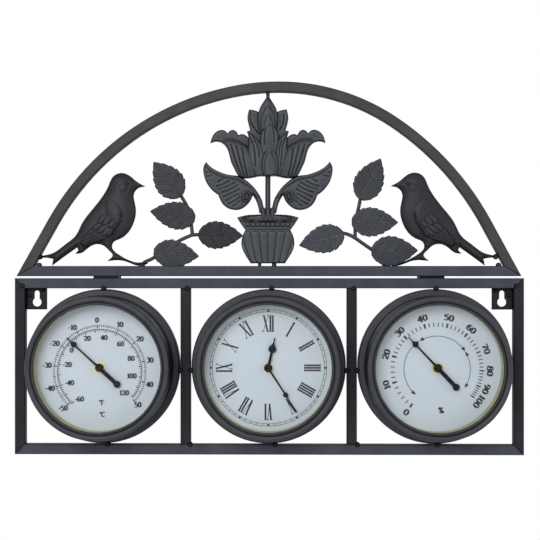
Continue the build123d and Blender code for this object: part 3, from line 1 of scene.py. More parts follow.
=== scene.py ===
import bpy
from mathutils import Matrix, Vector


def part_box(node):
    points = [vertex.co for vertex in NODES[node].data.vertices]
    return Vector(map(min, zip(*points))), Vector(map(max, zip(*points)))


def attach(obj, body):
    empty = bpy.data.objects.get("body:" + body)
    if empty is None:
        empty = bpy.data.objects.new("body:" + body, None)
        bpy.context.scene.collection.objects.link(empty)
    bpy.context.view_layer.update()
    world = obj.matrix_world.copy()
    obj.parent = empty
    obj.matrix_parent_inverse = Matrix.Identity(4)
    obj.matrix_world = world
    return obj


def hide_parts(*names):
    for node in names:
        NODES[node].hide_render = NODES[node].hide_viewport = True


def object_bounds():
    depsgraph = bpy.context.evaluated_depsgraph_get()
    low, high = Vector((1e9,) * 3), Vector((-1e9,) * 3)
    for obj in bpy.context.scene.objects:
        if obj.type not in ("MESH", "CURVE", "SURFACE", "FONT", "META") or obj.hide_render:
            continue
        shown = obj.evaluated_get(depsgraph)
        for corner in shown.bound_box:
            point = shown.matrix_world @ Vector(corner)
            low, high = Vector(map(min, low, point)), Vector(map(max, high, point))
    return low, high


bl_info = {
    "name": "Weather Station Wall Clock",
    "version": (1, 0, 0),
    "blender": (4, 5, 0),
    "location": "View3D > Sidebar > Wall Clock",
    "description": "Dresses the thermometer, clock and hygrometer in their wall frame",
    "category": "Object",
}

from math import ceil, cos, hypot, pi, radians, sin, tan

import bpy
import numpy as np
from bpy.props import FloatProperty, FloatVectorProperty, PointerProperty
from mathutils import Vector
from mathutils.geometry import delaunay_2d_cdt

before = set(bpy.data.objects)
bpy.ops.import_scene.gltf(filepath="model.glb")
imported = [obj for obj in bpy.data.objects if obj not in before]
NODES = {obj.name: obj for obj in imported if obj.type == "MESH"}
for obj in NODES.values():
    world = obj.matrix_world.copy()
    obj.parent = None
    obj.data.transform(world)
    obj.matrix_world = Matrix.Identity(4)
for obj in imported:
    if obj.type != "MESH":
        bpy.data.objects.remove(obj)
CAD_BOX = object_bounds()

# Every length below is in millimetres, and becomes metres where a mesh is made
MM = 0.001


def node_middle(node):
    """Middle of a solid's box, in millimetres."""
    low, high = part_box(node)
    return (low + high) / 2 / MM


def setting(group, name):
    """A length of the settings, in millimetres."""
    return getattr(getattr(bpy.context.scene, group), name) / MM


def node_front(node):
    """How far a solid reaches forward of the wall side of the frame, in millimetres."""
    return -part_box(node)[0].y / MM


CASES = ("thermometer", "clock", "hygrometer")
CASE_X = {name: node_middle(name + "_dial").x for name in CASES}
CASE_Z = node_middle("clock_dial").z
DIAL_FRONT = node_front("clock_dial")
SILL_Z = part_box("arch_sill")[0].z / MM
ORNAMENT_BACK = -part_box("flower_head")[1].y / MM
SHEET_BACK = -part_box("leaves_left")[1].y / MM


# Settings that a user would change

def colour_setting(label, text, value):
    return FloatVectorProperty(name=label, description=text, default=value, subtype="COLOR", size=3,
                               min=0.0, max=1.0)


def length_setting(label, text, value):
    return FloatProperty(name=label, description=text, default=value * MM, min=0.0, unit="LENGTH",
                         subtype="DISTANCE", precision=4)


def share_setting(label, text, value):
    return FloatProperty(name=label, description=text, default=value, min=0.0, max=1.0, subtype="FACTOR")


class FinishSettings(bpy.types.PropertyGroup):
    frame_paint: colour_setting("Frame paint", "Colour of the rails", (0.062, 0.069, 0.087))
    post_paint: colour_setting("Post paint", "Colour of the posts and dividers", (0.027, 0.029, 0.034))
    case_paint: colour_setting("Case paint", "Colour of the round cases", (0.045, 0.048, 0.058))
    arch_paint: colour_setting("Arch paint", "Colour of the bent tube", (0.060, 0.061, 0.064))
    bird_paint: colour_setting("Bird paint", "Colour of the birds", (0.019, 0.021, 0.025))
    leaf_paint: colour_setting("Leaf paint", "Colour of the leaves and stems", (0.030, 0.033, 0.041))
    flower_paint: colour_setting("Flower paint", "Colour of flower, scrolls and pot", (0.038, 0.042, 0.050))
    paint_roughness: share_setting("Paint roughness", "How dull the paint is", 0.46)
    orange_peel: share_setting("Paint texture", "Strength of the fine texture in the paint", 0.16)
    brass: colour_setting("Brass", "Colour of the brass at each hub", (0.52, 0.45, 0.20))
    glass_share: share_setting("Glass", "How much of the glass shows over the dials", 0.05)


class DialSettings(bpy.types.PropertyGroup):
    face: colour_setting("Dial face", "Colour of the printed dials", (0.512, 0.577, 0.645))
    card: colour_setting("Spacer card", "Colour of the ring between dial and glass", (0.380, 0.370, 0.215))
    ink: colour_setting("Ink", "Colour of the print", (0.006, 0.007, 0.012))
    hand: colour_setting("Hands", "Colour of the hands and pointers", (0.004, 0.005, 0.008))
    track_radius: length_setting("Minute track", "Middle of the minute track", 55.3)
    roman_height: length_setting("Roman numeral height", "Height of the clock's numerals", 15.8)
    roman_radius: length_setting("Roman numeral ring", "Middle of the ring of numerals", 42.7)
    celsius_radius: length_setting("Celsius ring", "Outer ends of the Celsius marks", 45.5)
    fahrenheit_radius: length_setting("Fahrenheit ring", "Circle that the Fahrenheit marks hang on", 41.1)
    humidity_radius: length_setting("Humidity ring", "Middle of the humidity marks", 42.9)


class ReliefSettings(bpy.types.PropertyGroup):
    grid: length_setting("Relief grid", "Distance between points on the cast ornaments", 0.75)
    leaf_grid: length_setting("Leaf grid", "Distance between points on the leaves", 0.65)
    wing_rise: length_setting("Wing rise", "How far the wings stand over the body", 1.7)
    petal_rise: length_setting("Petal rise", "How far each petal stands over the one behind", 2.0)
    rib_rise: length_setting("Rib rise", "How far ribs and veins stand up", 0.7)


class StageSettings(bpy.types.PropertyGroup):
    floor_drop: length_setting("Floor drop", "Height of the hung part over the floor", 450.0)
    floor_colour: colour_setting("Floor", "Colour of the floor", (0.80, 0.80, 0.80))
    floor_spot: FloatProperty(name="Shadow spot", description="How far out the floor keeps the shadow",
                              default=1.3, min=0.1, unit="LENGTH", subtype="DISTANCE")
    key_power: FloatProperty(name="Key light", description="Power of the lamp in front", default=17.0,
                             min=0.0, unit="POWER")
    fill_power: FloatProperty(name="Fill light", description="Power of the lamp at the side", default=5.0,
                              min=0.0, unit="POWER")
    room_light: FloatProperty(name="Room light", description="Strength of the light from all round",
                              default=0.42, min=0.0)
    camera_reach: length_setting("Camera distance", "From the wall side of the frame to the camera", 1105.2)
    camera_x: FloatProperty(name="Camera side", description="How far the camera stands to the right",
                            default=0.0196, unit="LENGTH", subtype="DISTANCE")
    camera_z: FloatProperty(name="Camera height", description="Height of the camera over the wall holes",
                            default=0.0206, unit="LENGTH", subtype="DISTANCE")
    camera_turn: FloatProperty(name="Camera turn", description="How far the camera is turned to the left",
                               default=0.0143, subtype="ANGLE")
    lens: FloatProperty(name="Lens", description="Focal length in millimetres", default=74.38, min=1.0)
    shift_x: FloatProperty(name="Shift X", description="Sideways shift of the picture", default=-0.0048)
    shift_y: FloatProperty(name="Shift Y", description="Upward shift of the picture", default=0.0210)


# Meshes

SHARP_ANGLE = 38


def make_object(name, points, faces, material, body, smooth=True):
    """One mesh piece from points in millimetres as (x, depth, z), riding on a body."""
    coords = np.array(points, float).reshape(-1, 3) * MM
    coords[:, 1] *= -1
    mesh = bpy.data.meshes.new(name)
    mesh.from_pydata(coords.tolist(), [], faces)
    mesh.validate()
    piece = bpy.data.objects.new(name, mesh)
    bpy.context.scene.collection.objects.link(piece)
    mesh.materials.append(material)
    if smooth:
        mesh.shade_smooth()
        mesh.set_sharp_from_angle(angle=radians(SHARP_ANGLE))
    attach(piece, body)
    return piece


# How far the ink stands over the dial and reaches into it
PRINT_THICK = 0.03
PRINT_SINK = 0.02


class Print:
    """Thin closed forms on a dial, gathered into one piece."""

    def __init__(self):
        self.points = []
        self.faces = []

    def patch(self, outline, thick=PRINT_THICK):
        """Form over an outline that runs anticlockwise as seen from the front."""
        back, front = DIAL_FRONT - PRINT_SINK, DIAL_FRONT + thick
        first = len(self.points)
        count = len(outline)
        self.points += [(x, back, z) for x, z in outline] + [(x, front, z) for x, z in outline]
        self.faces.append([first + count + i for i in range(count)])
        self.faces.append([first + i for i in reversed(range(count))])
        for i in range(count):
            j = (i + 1) % count
            self.faces.append([first + i, first + j, first + count + j, first + count + i])

    def band(self, rows, closed=False):
        """Strip through pairs of left and right points."""
        back, front = DIAL_FRONT - PRINT_SINK, DIAL_FRONT + PRINT_THICK
        first = len(self.points)
        for left, right in rows:
            self.points += [(left[0], back, left[1]), (right[0], back, right[1]),
                            (left[0], front, left[1]), (right[0], front, right[1])]
        steps = len(rows) if closed else len(rows) - 1
        for i in range(steps):
            a = first + 4 * i
            b = first + 4 * ((i + 1) % len(rows))
            self.faces += [[a + 3, b + 3, b + 2, a + 2], [a, b, b + 1, a + 1],
                           [a + 2, b + 2, b, a], [a + 1, b + 1, b + 3, a + 3]]
        if not closed:
            a = first
            b = first + 4 * (len(rows) - 1)
            self.faces += [[a + 1, a + 3, a + 2, a], [b, b + 2, b + 3, b + 1]]

    def finish(self, name):
        """Make the piece from what is gathered."""
        piece = make_object(name, self.points, self.faces, print_ink(), "base", smooth=False)


def smooth_run(run, step):
    """Points a step apart along a smooth curve through the given ones, or along a straight pair."""
    knots = np.array(run, float)
    reach = np.concatenate([[0], np.cumsum(np.hypot(*np.diff(knots, axis=0).T))])
    places = np.linspace(0, reach[-1], max(2, ceil(reach[-1] / step) + 1))
    if len(run) == 2:
        return np.array([np.interp(places, reach, knots[:, axis]) for axis in (0, 1)]).T
    gaps = np.diff(reach)
    bends = np.zeros((len(knots), len(knots)))
    pull = np.zeros((len(knots), 2))
    bends[0, 0] = bends[-1, -1] = 1
    for i in range(1, len(knots) - 1):
        bends[i, i - 1:i + 2] = gaps[i - 1], 2 * (gaps[i - 1] + gaps[i]), gaps[i]
        pull[i] = 6 * ((knots[i + 1] - knots[i]) / gaps[i] - (knots[i] - knots[i - 1]) / gaps[i - 1])
    curve = np.linalg.solve(bends, pull)
    i = np.clip(np.searchsorted(reach, places, side="right") - 1, 0, len(gaps) - 1)
    gap = gaps[i][:, None]
    after = (places - reach[i])[:, None]
    before = gap - after
    return ((curve[i] * before ** 3 + curve[i + 1] * after ** 3) / (6 * gap)
            + (knots[i] / gap - curve[i] * gap / 6) * before
            + (knots[i + 1] / gap - curve[i + 1] * gap / 6) * after)


def closed_outline(runs, step):
    """Anticlockwise outline through smooth runs that meet end to end."""
    outline = np.concatenate([smooth_run(run, step)[:-1] for run in runs])
    following = np.roll(outline, -1, axis=0)
    area = np.sum(outline[:, 0] * following[:, 1] - following[:, 0] * outline[:, 1])
    return outline if area > 0 else outline[::-1]


def chained(first, *others):
    """Runs of an outline, each going on from the end of the one before."""
    runs = [first]
    for run in others:
        runs.append([runs[-1][-1]] + run)
    return runs


def swapped(outline):
    """An outline swapped left for right, still anticlockwise."""
    return outline[::-1] * (-1, 1)


def both_halves(runs):
    """Runs of a right half, followed by the same runs swapped left for right."""
    return runs + [[(-x, z) for x, z in reversed(run)] for run in reversed(runs)]


def distance_to(points, line, closed=False):
    """Distance of each point from a line of points."""
    line = np.array(line, float)
    start = line if closed else line[:-1]
    end = np.roll(line, -1, axis=0) if closed else line[1:]
    along = end - start
    nearest = np.full(len(points), np.inf)
    for a, b in zip(start, along):
        share = np.clip(((points - a) @ b) / max(b @ b, 1e-12), 0, 1)
        nearest = np.minimum(nearest, np.hypot(*(points - a - share[:, None] * b).T))
    return nearest


def depth_inside(points, outline):
    """Distance inside a closed outline, negative outside it."""
    outline = np.array(outline, float)
    crossings = np.zeros(len(points), bool)
    for (x0, z0), (x1, z1) in zip(outline, np.roll(outline, -1, axis=0)):
        spans = (z0 > points[:, 1]) != (z1 > points[:, 1])
        if z0 != z1:
            cross = x0 + (points[:, 1] - z0) / (z1 - z0) * (x1 - x0)
            crossings ^= spans & (points[:, 0] < cross)
    return np.where(crossings, 1, -1) * distance_to(points, outline, closed=True)


def step_up(distance, width):
    """0 to 1 over a width, with a soft foot and top."""
    share = np.clip(distance / width, 0, 1)
    return share * share * (3 - 2 * share)


def dome(distance, width):
    """0 to 1 over a width, round as a quarter circle."""
    return np.sqrt(1 - (1 - np.clip(distance / width, 0, 1)) ** 2)


def ridge(distance, width):
    """A soft ridge on a line, 0 beyond the width."""
    return 0.5 + 0.5 * np.cos(pi * np.clip(distance / width, 0, 1))


def swell(distance, rise, width):
    """A round that rises over a width."""
    return rise * dome(distance, width)


def bead(distance, rise, width):
    """A soft ridge with a rise and a width."""
    return rise * ridge(distance, width)


def groove(points, line, rise, width):
    """A soft ridge, or a groove where the rise is below 0, along a smooth line."""
    return bead(distance_to(points, smooth_run(line, 1.0)), rise, width)


# Shares of the grid: height of a row, first row inside the edge, and least distances from the edge and
# between points
ROW_HEIGHT = 0.87
FIRST_ROW = 0.4
LEAST_INSIDE = 0.3
LEAST_APART = 0.45
# Painted shade and painted highlight on the castings, as shares of the grid: the bend that counts as full
# painted shade in a hollow or full painted highlight on a ridge, and the widths of the dark rim of painted
# shade and of a pale line of painted highlight. The last is the painted shade on the back.
FULL_BEND = 0.09
RIM_WIDTH = 1.5
PALE_WIDTH = 1.2
BACK_TONE = -0.3


def fill_outline(edge, lines, grid):
    """Flat triangles over an outline, with points along its edge, on the lines and on a grid."""
    low, high = edge.min(axis=0), edge.max(axis=0)
    rows = []
    for row, z in enumerate(np.arange(low[1], high[1], grid * ROW_HEIGHT)):
        xs = np.arange(low[0] + (row % 2) * grid / 2, high[0], grid)
        rows.append(np.array([xs, np.full(len(xs), z)]).T)
    heading = np.roll(edge, -1, axis=0) - np.roll(edge, 1, axis=0)
    inward = np.array([-heading[:, 1], heading[:, 0]]).T / np.hypot(*heading.T)[:, None]
    candidates = np.concatenate([edge + inward * grid * FIRST_ROW] + lines + rows)
    kept = candidates[depth_inside(candidates, edge) > grid * LEAST_INSIDE]
    spaced = np.round(kept / (grid * LEAST_APART)).astype(int)
    kept = kept[np.sort(np.unique(spaced, axis=0, return_index=True)[1])]
    ring = [(i, (i + 1) % len(edge)) for i in range(len(edge))]
    flat = [Vector(point) for point in np.concatenate([edge, kept])]
    points, _, faces, *_ = delaunay_2d_cdt(flat, ring, [], 1, 1e-6)
    return np.array([tuple(point) for point in points]), faces


def rubbed_tone(flat, faces, depth, inner, grid, pale):
    """Painted shade and highlight on the front: -1 for painted shade in hollows and at the edge, 1 for
    painted highlight on ridges and on pale lines.
    """
    near = np.zeros(len(flat))
    share = np.zeros(len(flat))
    corners = np.array([list(face) for face in faces])
    for a, b in ((0, 1), (1, 2), (2, 0)):
        for i, j in ((a, b), (b, a)):
            np.add.at(near, corners[:, i], depth[corners[:, j]])
            np.add.at(share, corners[:, i], 1)
    tone = np.clip((depth - near / np.maximum(share, 1)) / (FULL_BEND * grid), -1, 1)
    if pale:
        line = ridge(np.min([distance_to(flat, run) for run in pale], axis=0), PALE_WIDTH * grid)
        tone = np.maximum(0.5 * tone - 0.4, 2.6 * line - 1.6)
    rim = np.clip(1 - inner / (RIM_WIDTH * grid), 0, 1)
    return tone * (1 - rim) - rim


def relief(name, outline, grid, front, back, material, lines=(), pale_lines=False):
    """Closed casting on the arch. Front and back give its depths from place and distance to the edge."""
    edge = np.array(outline, float)
    drawn = [np.array(line, float) for line in lines]
    flat, faces = fill_outline(edge, drawn, grid)
    inner = distance_to(flat, edge, closed=True)
    depths = front(flat, inner), back(flat, inner)
    total = len(flat)
    coords = [np.array([flat[:, 0], depth, flat[:, 1] + SILL_Z]).T for depth in depths]
    whole = [list(face) for face in faces] + [[total + i for i in reversed(face)] for face in faces]
    whole += [[a, total + a, total + b, b] for a, b in sorted(set(order_edges(faces)))]
    piece = make_object(name, np.concatenate(coords), whole, material, "arch")
    # Painted shade in hollows, at the rim and on the back, and painted highlight on ridges and veins
    tone = rubbed_tone(flat, faces, depths[0], inner, grid, drawn if pale_lines else ())
    return wear(piece, 0.5 + 0.5 * np.concatenate([tone, np.full(total, BACK_TONE)]))


def wear(piece, share):
    """Keep at each point its painted shade and highlight: 0 for painted shade in a hollow, 1 for painted
    highlight on a ridge.
    """
    layer = piece.data.attributes.new("worn", "FLOAT", "POINT")
    layer.data.foreach_set("value", np.array(share, np.float32))
    return piece


def order_edges(faces):
    """Outer edges of a flat patch of triangles, each in the direction its triangle has it."""
    seen = set()
    for face in faces:
        for a, b in zip(face, list(face[1:]) + [face[0]]):
            seen.add((a, b))
    return [(a, b) for a, b in seen if (b, a) not in seen]


# Angles of the rings that round a bar's end, in radians
CAP_TURNS = (1.3, 0.9, 0.45)


def rod(name, spine, radius, material, sides=20):
    """Round bar on the arch along points of (x, depth, z), with round ends."""
    spine = np.array(spine, float)
    along = np.gradient(spine, axis=0)
    along /= np.linalg.norm(along, axis=1)[:, None]
    last = len(spine) - 1
    rings = [(spine[0] - along[0] * radius * sin(turn), radius * cos(turn), 0) for turn in CAP_TURNS]
    rings += [(spine[i], radius, i) for i in range(last + 1)]
    rings += [(spine[last] + along[last] * radius * sin(turn), radius * cos(turn), last)
              for turn in reversed(CAP_TURNS)]
    points = []
    for middle, reach, i in rings:
        across = np.cross(along[i], (0, 1, 0))
        across /= np.linalg.norm(across)
        upward = np.cross(along[i], across)
        for turn in np.linspace(0, 2 * pi, sides, endpoint=False):
            points.append(middle + reach * (cos(turn) * across + sin(turn) * upward))
    faces = []
    for first in range(0, (len(rings) - 1) * sides, sides):
        for side in range(sides):
            after = (side + 1) % sides
            faces.append([first + side, first + sides + side, first + sides + after, first + after])
    faces.append(list(range(sides)))
    faces.append([(len(rings) - 1) * sides + side for side in reversed(range(sides))])
    # A middle tone: no painted shade or highlight on the round bars
    return wear(make_object(name, points, faces, material, "arch"), np.full(len(points), 0.5))


# Materials

def new_material(name):
    """An empty node material with its surface shader, ready to be wired."""
    material = bpy.data.materials.new(name)
    material.use_nodes = True
    tree = material.node_tree
    tree.nodes.clear()
    shader = tree.nodes.new("ShaderNodeBsdfPrincipled")
    output = tree.nodes.new("ShaderNodeOutputMaterial")
    tree.links.new(shader.outputs[0], output.inputs[0])
    return material, tree, shader


def noise_from(tree, scale, detail=3.0, stretch=(1, 1, 1)):
    """Noise in the piece's own space, in metres, drawn out where a stretch is given."""
    place = tree.nodes.new("ShaderNodeTexCoord")
    mapping = tree.nodes.new("ShaderNodeMapping")
    mapping.inputs["Scale"].default_value = stretch
    noise = tree.nodes.new("ShaderNodeTexNoise")
    noise.inputs["Scale"].default_value = scale
    noise.inputs["Detail"].default_value = detail
    tree.links.new(place.outputs["Object"], mapping.inputs[0])
    tree.links.new(mapping.outputs[0], noise.inputs["Vector"])
    return noise.outputs[0]


def ramp_from(tree, source, low, high, start=0.3, end=0.7):
    """Colour ramp between two colours."""
    ramp = tree.nodes.new("ShaderNodeValToRGB")
    ramp.color_ramp.elements[0].position = start
    ramp.color_ramp.elements[0].color = (*low, 1)
    ramp.color_ramp.elements[1].position = end
    ramp.color_ramp.elements[1].color = (*high, 1)
    tree.links.new(source, ramp.inputs[0])
    return ramp.outputs[0]


def spread_from(tree, source, low, high):
    """A number that runs from low to high with its source."""
    spread = tree.nodes.new("ShaderNodeMapRange")
    spread.inputs["From Min"].default_value = 0.25
    spread.inputs["From Max"].default_value = 0.75
    spread.inputs["To Min"].default_value = low
    spread.inputs["To Max"].default_value = high
    tree.links.new(source, spread.inputs[0])
    return spread.outputs[0]


def bump_from(tree, shader, source, strength, depth):
    """Fine surface relief on a shader."""
    bump = tree.nodes.new("ShaderNodeBump")
    bump.inputs["Strength"].default_value = strength
    bump.inputs["Distance"].default_value = depth
    tree.links.new(source, bump.inputs["Height"])
    tree.links.new(bump.outputs[0], shader.inputs["Normal"])


def tint_shader(tree, shader, source, colour, dark, pale):
    """Base colour that runs with its source from a darker to a paler tone."""
    tree.links.new(ramp_from(tree, source, shade(colour, dark), shade(colour, pale)),
                   shader.inputs["Base Color"])


def dull_shader(tree, shader, scale, low, high, stretch=(1, 1, 1)):
    """Roughness that runs with noise from low to high."""
    tree.links.new(spread_from(tree, noise_from(tree, scale, stretch=stretch), low, high),
                   shader.inputs["Roughness"])


def shade(colour, share):
    """The same colour, darker or lighter."""
    return tuple(min(1.0, part * share) for part in colour)


def times(tree, first, second):
    """One colour multiplied by another."""
    product = tree.nodes.new("ShaderNodeMix")
    product.data_type = "RGBA"
    product.blend_type = "MULTIPLY"
    product.inputs["Factor"].default_value = 1.0
    tree.links.new(first, product.inputs["A"])
    tree.links.new(second, product.inputs["B"])
    return product.outputs["Result"]


# How far in from a sharp edge the painted shade reaches, in metres, and how dark the painted shade is there
# and on the sides
EDGE_REACH = 0.0020
EDGE_SHADE = (0.04, 0.04, 0.05)
SIDE_SHADE = 0.22
# How far a surface faces the front where its painted shade starts to lift, and where the painted shade is
# gone
SHARP_TURN = (0.6, 0.985)
ROUND_TURN = (0.15, 0.80)


def edge_line(tree):
    """Painted shade: dark where the surface bends away within a reach, and white elsewhere."""
    rounded = tree.nodes.new("ShaderNodeBevel")
    rounded.samples = 6
    rounded.inputs["Radius"].default_value = EDGE_REACH
    plain = tree.nodes.new("ShaderNodeNewGeometry")
    match = tree.nodes.new("ShaderNodeVectorMath")
    match.operation = "DOT_PRODUCT"
    tree.links.new(rounded.outputs[0], match.inputs[0])
    tree.links.new(plain.outputs["True Normal"], match.inputs[1])
    return ramp_from(tree, match.outputs["Value"], EDGE_SHADE, (1, 1, 1), start=0.82, end=0.995)


def front_share(tree, start, full):
    """Painted shade: dark where a surface turns away from the front of the object, and white where it faces
    it.
    """
    place = tree.nodes.new("ShaderNodeTexCoord")
    parts = tree.nodes.new("ShaderNodeSeparateXYZ")
    size = tree.nodes.new("ShaderNodeMath")
    size.operation = "ABSOLUTE"
    tree.links.new(place.outputs["Normal"], parts.inputs[0])
    tree.links.new(parts.outputs["Y"], size.inputs[0])
    return ramp_from(tree, size.outputs[0], (SIDE_SHADE,) * 3, (1, 1, 1), start, full)


def painted(name, colour, roughness, peel, worn=(), turn=SHARP_TURN, gloss=0.4):
    """Satin paint with a fine texture, with painted shade where a surface turns from the front and at sharp
    edges, or on a casting painted shade in hollows and painted highlight on ridges.
    """
    material, tree, shader = new_material(name)
    tint = ramp_from(tree, noise_from(tree, scale=55.0, detail=4.0), shade(colour, 0.86), shade(colour, 1.14))
    # Painted shade on surfaces that turn away from the front
    tint = times(tree, tint, front_share(tree, *turn))
    # On a casting, painted shade in the hollows and painted highlight on the ridges
    if worn:
        layer = tree.nodes.new("ShaderNodeAttribute")
        layer.attribute_name = "worn"
        hollow_shade, ridge_highlight = worn
        shade_highlight_tint = ramp_from(tree, layer.outputs["Fac"], (hollow_shade,) * 3, (ridge_highlight,) * 3, start=0.1, end=0.9)
        tint = times(tree, tint, shade_highlight_tint)
    else:
        # Painted shade at sharp edges
        tint = times(tree, tint, edge_line(tree))
    tree.links.new(tint, shader.inputs["Base Color"])
    dull_shader(tree, shader, 90.0, roughness - 0.06, roughness + 0.06)
    shader.inputs["IOR"].default_value = 1.3
    shader.inputs["Specular IOR Level"].default_value = gloss
    bump_from(tree, shader, noise_from(tree, scale=1100.0, detail=2.0), strength=peel, depth=0.0004)
    return material


def metal(name, colour, roughness, stretch=(1, 1, 1)):
    """Bare or plated metal with faint drawn lines."""
    material, tree, shader = new_material(name)
    tint_shader(tree, shader, noise_from(tree, 140.0, 4.0, stretch), colour, 0.88, 1.1)
    dull_shader(tree, shader, 420.0, roughness - 0.07, roughness + 0.09, stretch)
    shader.inputs["Metallic"].default_value = 1.0
    bump_from(tree, shader, noise_from(tree, 1600.0, 2.0, stretch), strength=0.08, depth=0.0002)
    return material


def plastic(name, colour, roughness, grain):
    """Moulded plastic with a fine spark texture."""
    material, tree, shader = new_material(name)
    tint_shader(tree, shader, noise_from(tree, scale=80.0), colour, 0.9, 1.1)
    dull_shader(tree, shader, 500.0, roughness - 0.05, roughness + 0.05)
    bump_from(tree, shader, noise_from(tree, scale=2400.0), strength=grain, depth=0.0002)
    return material


def dial_paper(name, colour):
    """Printed dial sheet with a faint fibre."""
    material, tree, shader = new_material(name)
    tint_shader(tree, shader, noise_from(tree, scale=30.0, detail=5.0), colour, 0.97, 1.03)
    dull_shader(tree, shader, 700.0, 0.5, 0.62)
    shader.inputs["Specular IOR Level"].default_value = 0.35
    bump_from(tree, shader, noise_from(tree, scale=3000.0, detail=2.0), strength=0.05, depth=0.0001)
    return material


def spacer_card(name, colour):
    """Uncoated card with a drawn-out fibre."""
    material, tree, shader = new_material(name)
    tint_shader(tree, shader, noise_from(tree, 120.0, 5.0, (1, 4, 1)), colour, 0.84, 1.12)
    dull_shader(tree, shader, 300.0, 0.72, 0.86)
    bump_from(tree, shader, noise_from(tree, scale=1500.0), strength=0.18, depth=0.0003)
    return material


def printing_ink(name, colour):
    """Printing ink, a little uneven."""
    material, tree, shader = new_material(name)
    tint_shader(tree, shader, noise_from(tree, scale=900.0), colour, 0.85, 1.3)
    dull_shader(tree, shader, 600.0, 0.45, 0.6)
    return material


def clear_glass(name, share):
    """Thin clear glass that lets the dial show as it is."""
    material, tree, shader = new_material(name)
    tree.links.new(ramp_from(tree, noise_from(tree, scale=12.0), (0.93, 0.97, 0.98), (0.97, 1.0, 1.0)),
                   shader.inputs["Base Color"])
    dull_shader(tree, shader, 25.0, 0.015, 0.05)
    shader.inputs["Transmission Weight"].default_value = 1.0
    shader.inputs["IOR"].default_value = 1.46
    shader.inputs["Alpha"].default_value = share
    return material


def circuit_green(name):
    """Green board with darker tracks in its mask."""
    material, tree, shader = new_material(name)
    tracks = tree.nodes.new("ShaderNodeTexWave")
    tracks.inputs["Scale"].default_value = 260.0
    tracks.inputs["Distortion"].default_value = 3.0
    place = tree.nodes.new("ShaderNodeTexCoord")
    tree.links.new(place.outputs["Object"], tracks.inputs["Vector"])
    mask = ramp_from(tree, tracks.outputs["Fac"], (0.010, 0.075, 0.030), (0.020, 0.130, 0.050), 0.45, 0.55)
    tree.links.new(mask, shader.inputs["Base Color"])
    dull_shader(tree, shader, 500.0, 0.3, 0.42)
    return material


MATERIALS = {}


def finish(name, make, *values, **options):
    """The material of that name, made once."""
    if name not in MATERIALS:
        MATERIALS[name] = make(name, *values, **options)
    return MATERIALS[name]


# How much the tubes shine, and how dark the painted shade in the hollows and how pale the painted highlight
# on the ridges of the castings are
TUBE_GLOSS = 0.08
BIRD_SHADE_HIGHLIGHT = (0.45, 1.6)
LEAF_SHADE_HIGHLIGHT = (0.5, 2.2)
FLOWER_SHADE_HIGHLIGHT = (0.2, 2.0)


def paint(name, colour, share=1.0, **options):
    """Paint in one of the colours of the settings, or that colour darker or lighter."""
    use = bpy.context.scene.clock_finish
    return finish(name, painted, shade(getattr(use, colour), share), use.paint_roughness, use.orange_peel,
                  **options)


def frame_paint():
    return paint("Frame paint", "frame_paint", gloss=TUBE_GLOSS)


def post_paint():
    return paint("Post paint", "post_paint", gloss=TUBE_GLOSS)


def arch_paint():
    return paint("Arch paint", "arch_paint", gloss=TUBE_GLOSS)


def case_paint():
    # The round cases get a softer painted side shade
    return paint("Drum paint", "case_paint", turn=ROUND_TURN)


def bird_paint():
    return paint("Bird paint", "bird_paint", worn=BIRD_SHADE_HIGHLIGHT)


def leaf_paint(share=1.0):
    return paint(f"Leaf paint {round(100 * share)}", "leaf_paint", share, worn=LEAF_SHADE_HIGHLIGHT)


def flower_paint():
    return paint("Flower paint", "flower_paint", worn=FLOWER_SHADE_HIGHLIGHT)


def hinge_black():
    return finish("Hinge black", painted, (0.005, 0.005, 0.006), 0.42, 0.10, gloss=0.2)


def bright_steel():
    return finish("Plated steel", metal, (0.55, 0.56, 0.58), 0.34)


def polished_brass():
    return finish("Brass", metal, tuple(bpy.context.scene.clock_finish.brass), 0.36)


def spring_bronze():
    return finish("Spring strip", metal, (0.48, 0.33, 0.20), 0.38, stretch=(1, 8, 1))


def hand_black():
    return finish("Hand black", painted, tuple(bpy.context.scene.clock_dials.hand), 0.30, 0.05)


def dial_white():
    return finish("Dial face", dial_paper, tuple(bpy.context.scene.clock_dials.face))


def print_ink():
    return finish("Dial ink", printing_ink, tuple(bpy.context.scene.clock_dials.ink))


def card_ring():
    return finish("Spacer card", spacer_card, tuple(bpy.context.scene.clock_dials.card))


def dial_glass():
    return finish("Dial glass", clear_glass, bpy.context.scene.clock_finish.glass_share)


# Colours of the parts inside the cases
MOVEMENT_BLACK = (0.020, 0.021, 0.023)
MOTOR_CREAM = (0.55, 0.53, 0.46)
CELL_BLUE = (0.030, 0.060, 0.16)
KNOB_BLACK = (0.022, 0.022, 0.024)


def dress(nodes, material):
    """Give solids that keep their shape a finish."""
    for name in nodes:
        piece = NODES[name]
        piece.data.materials.clear()
        piece.data.materials.append(material)


# Print on the dials

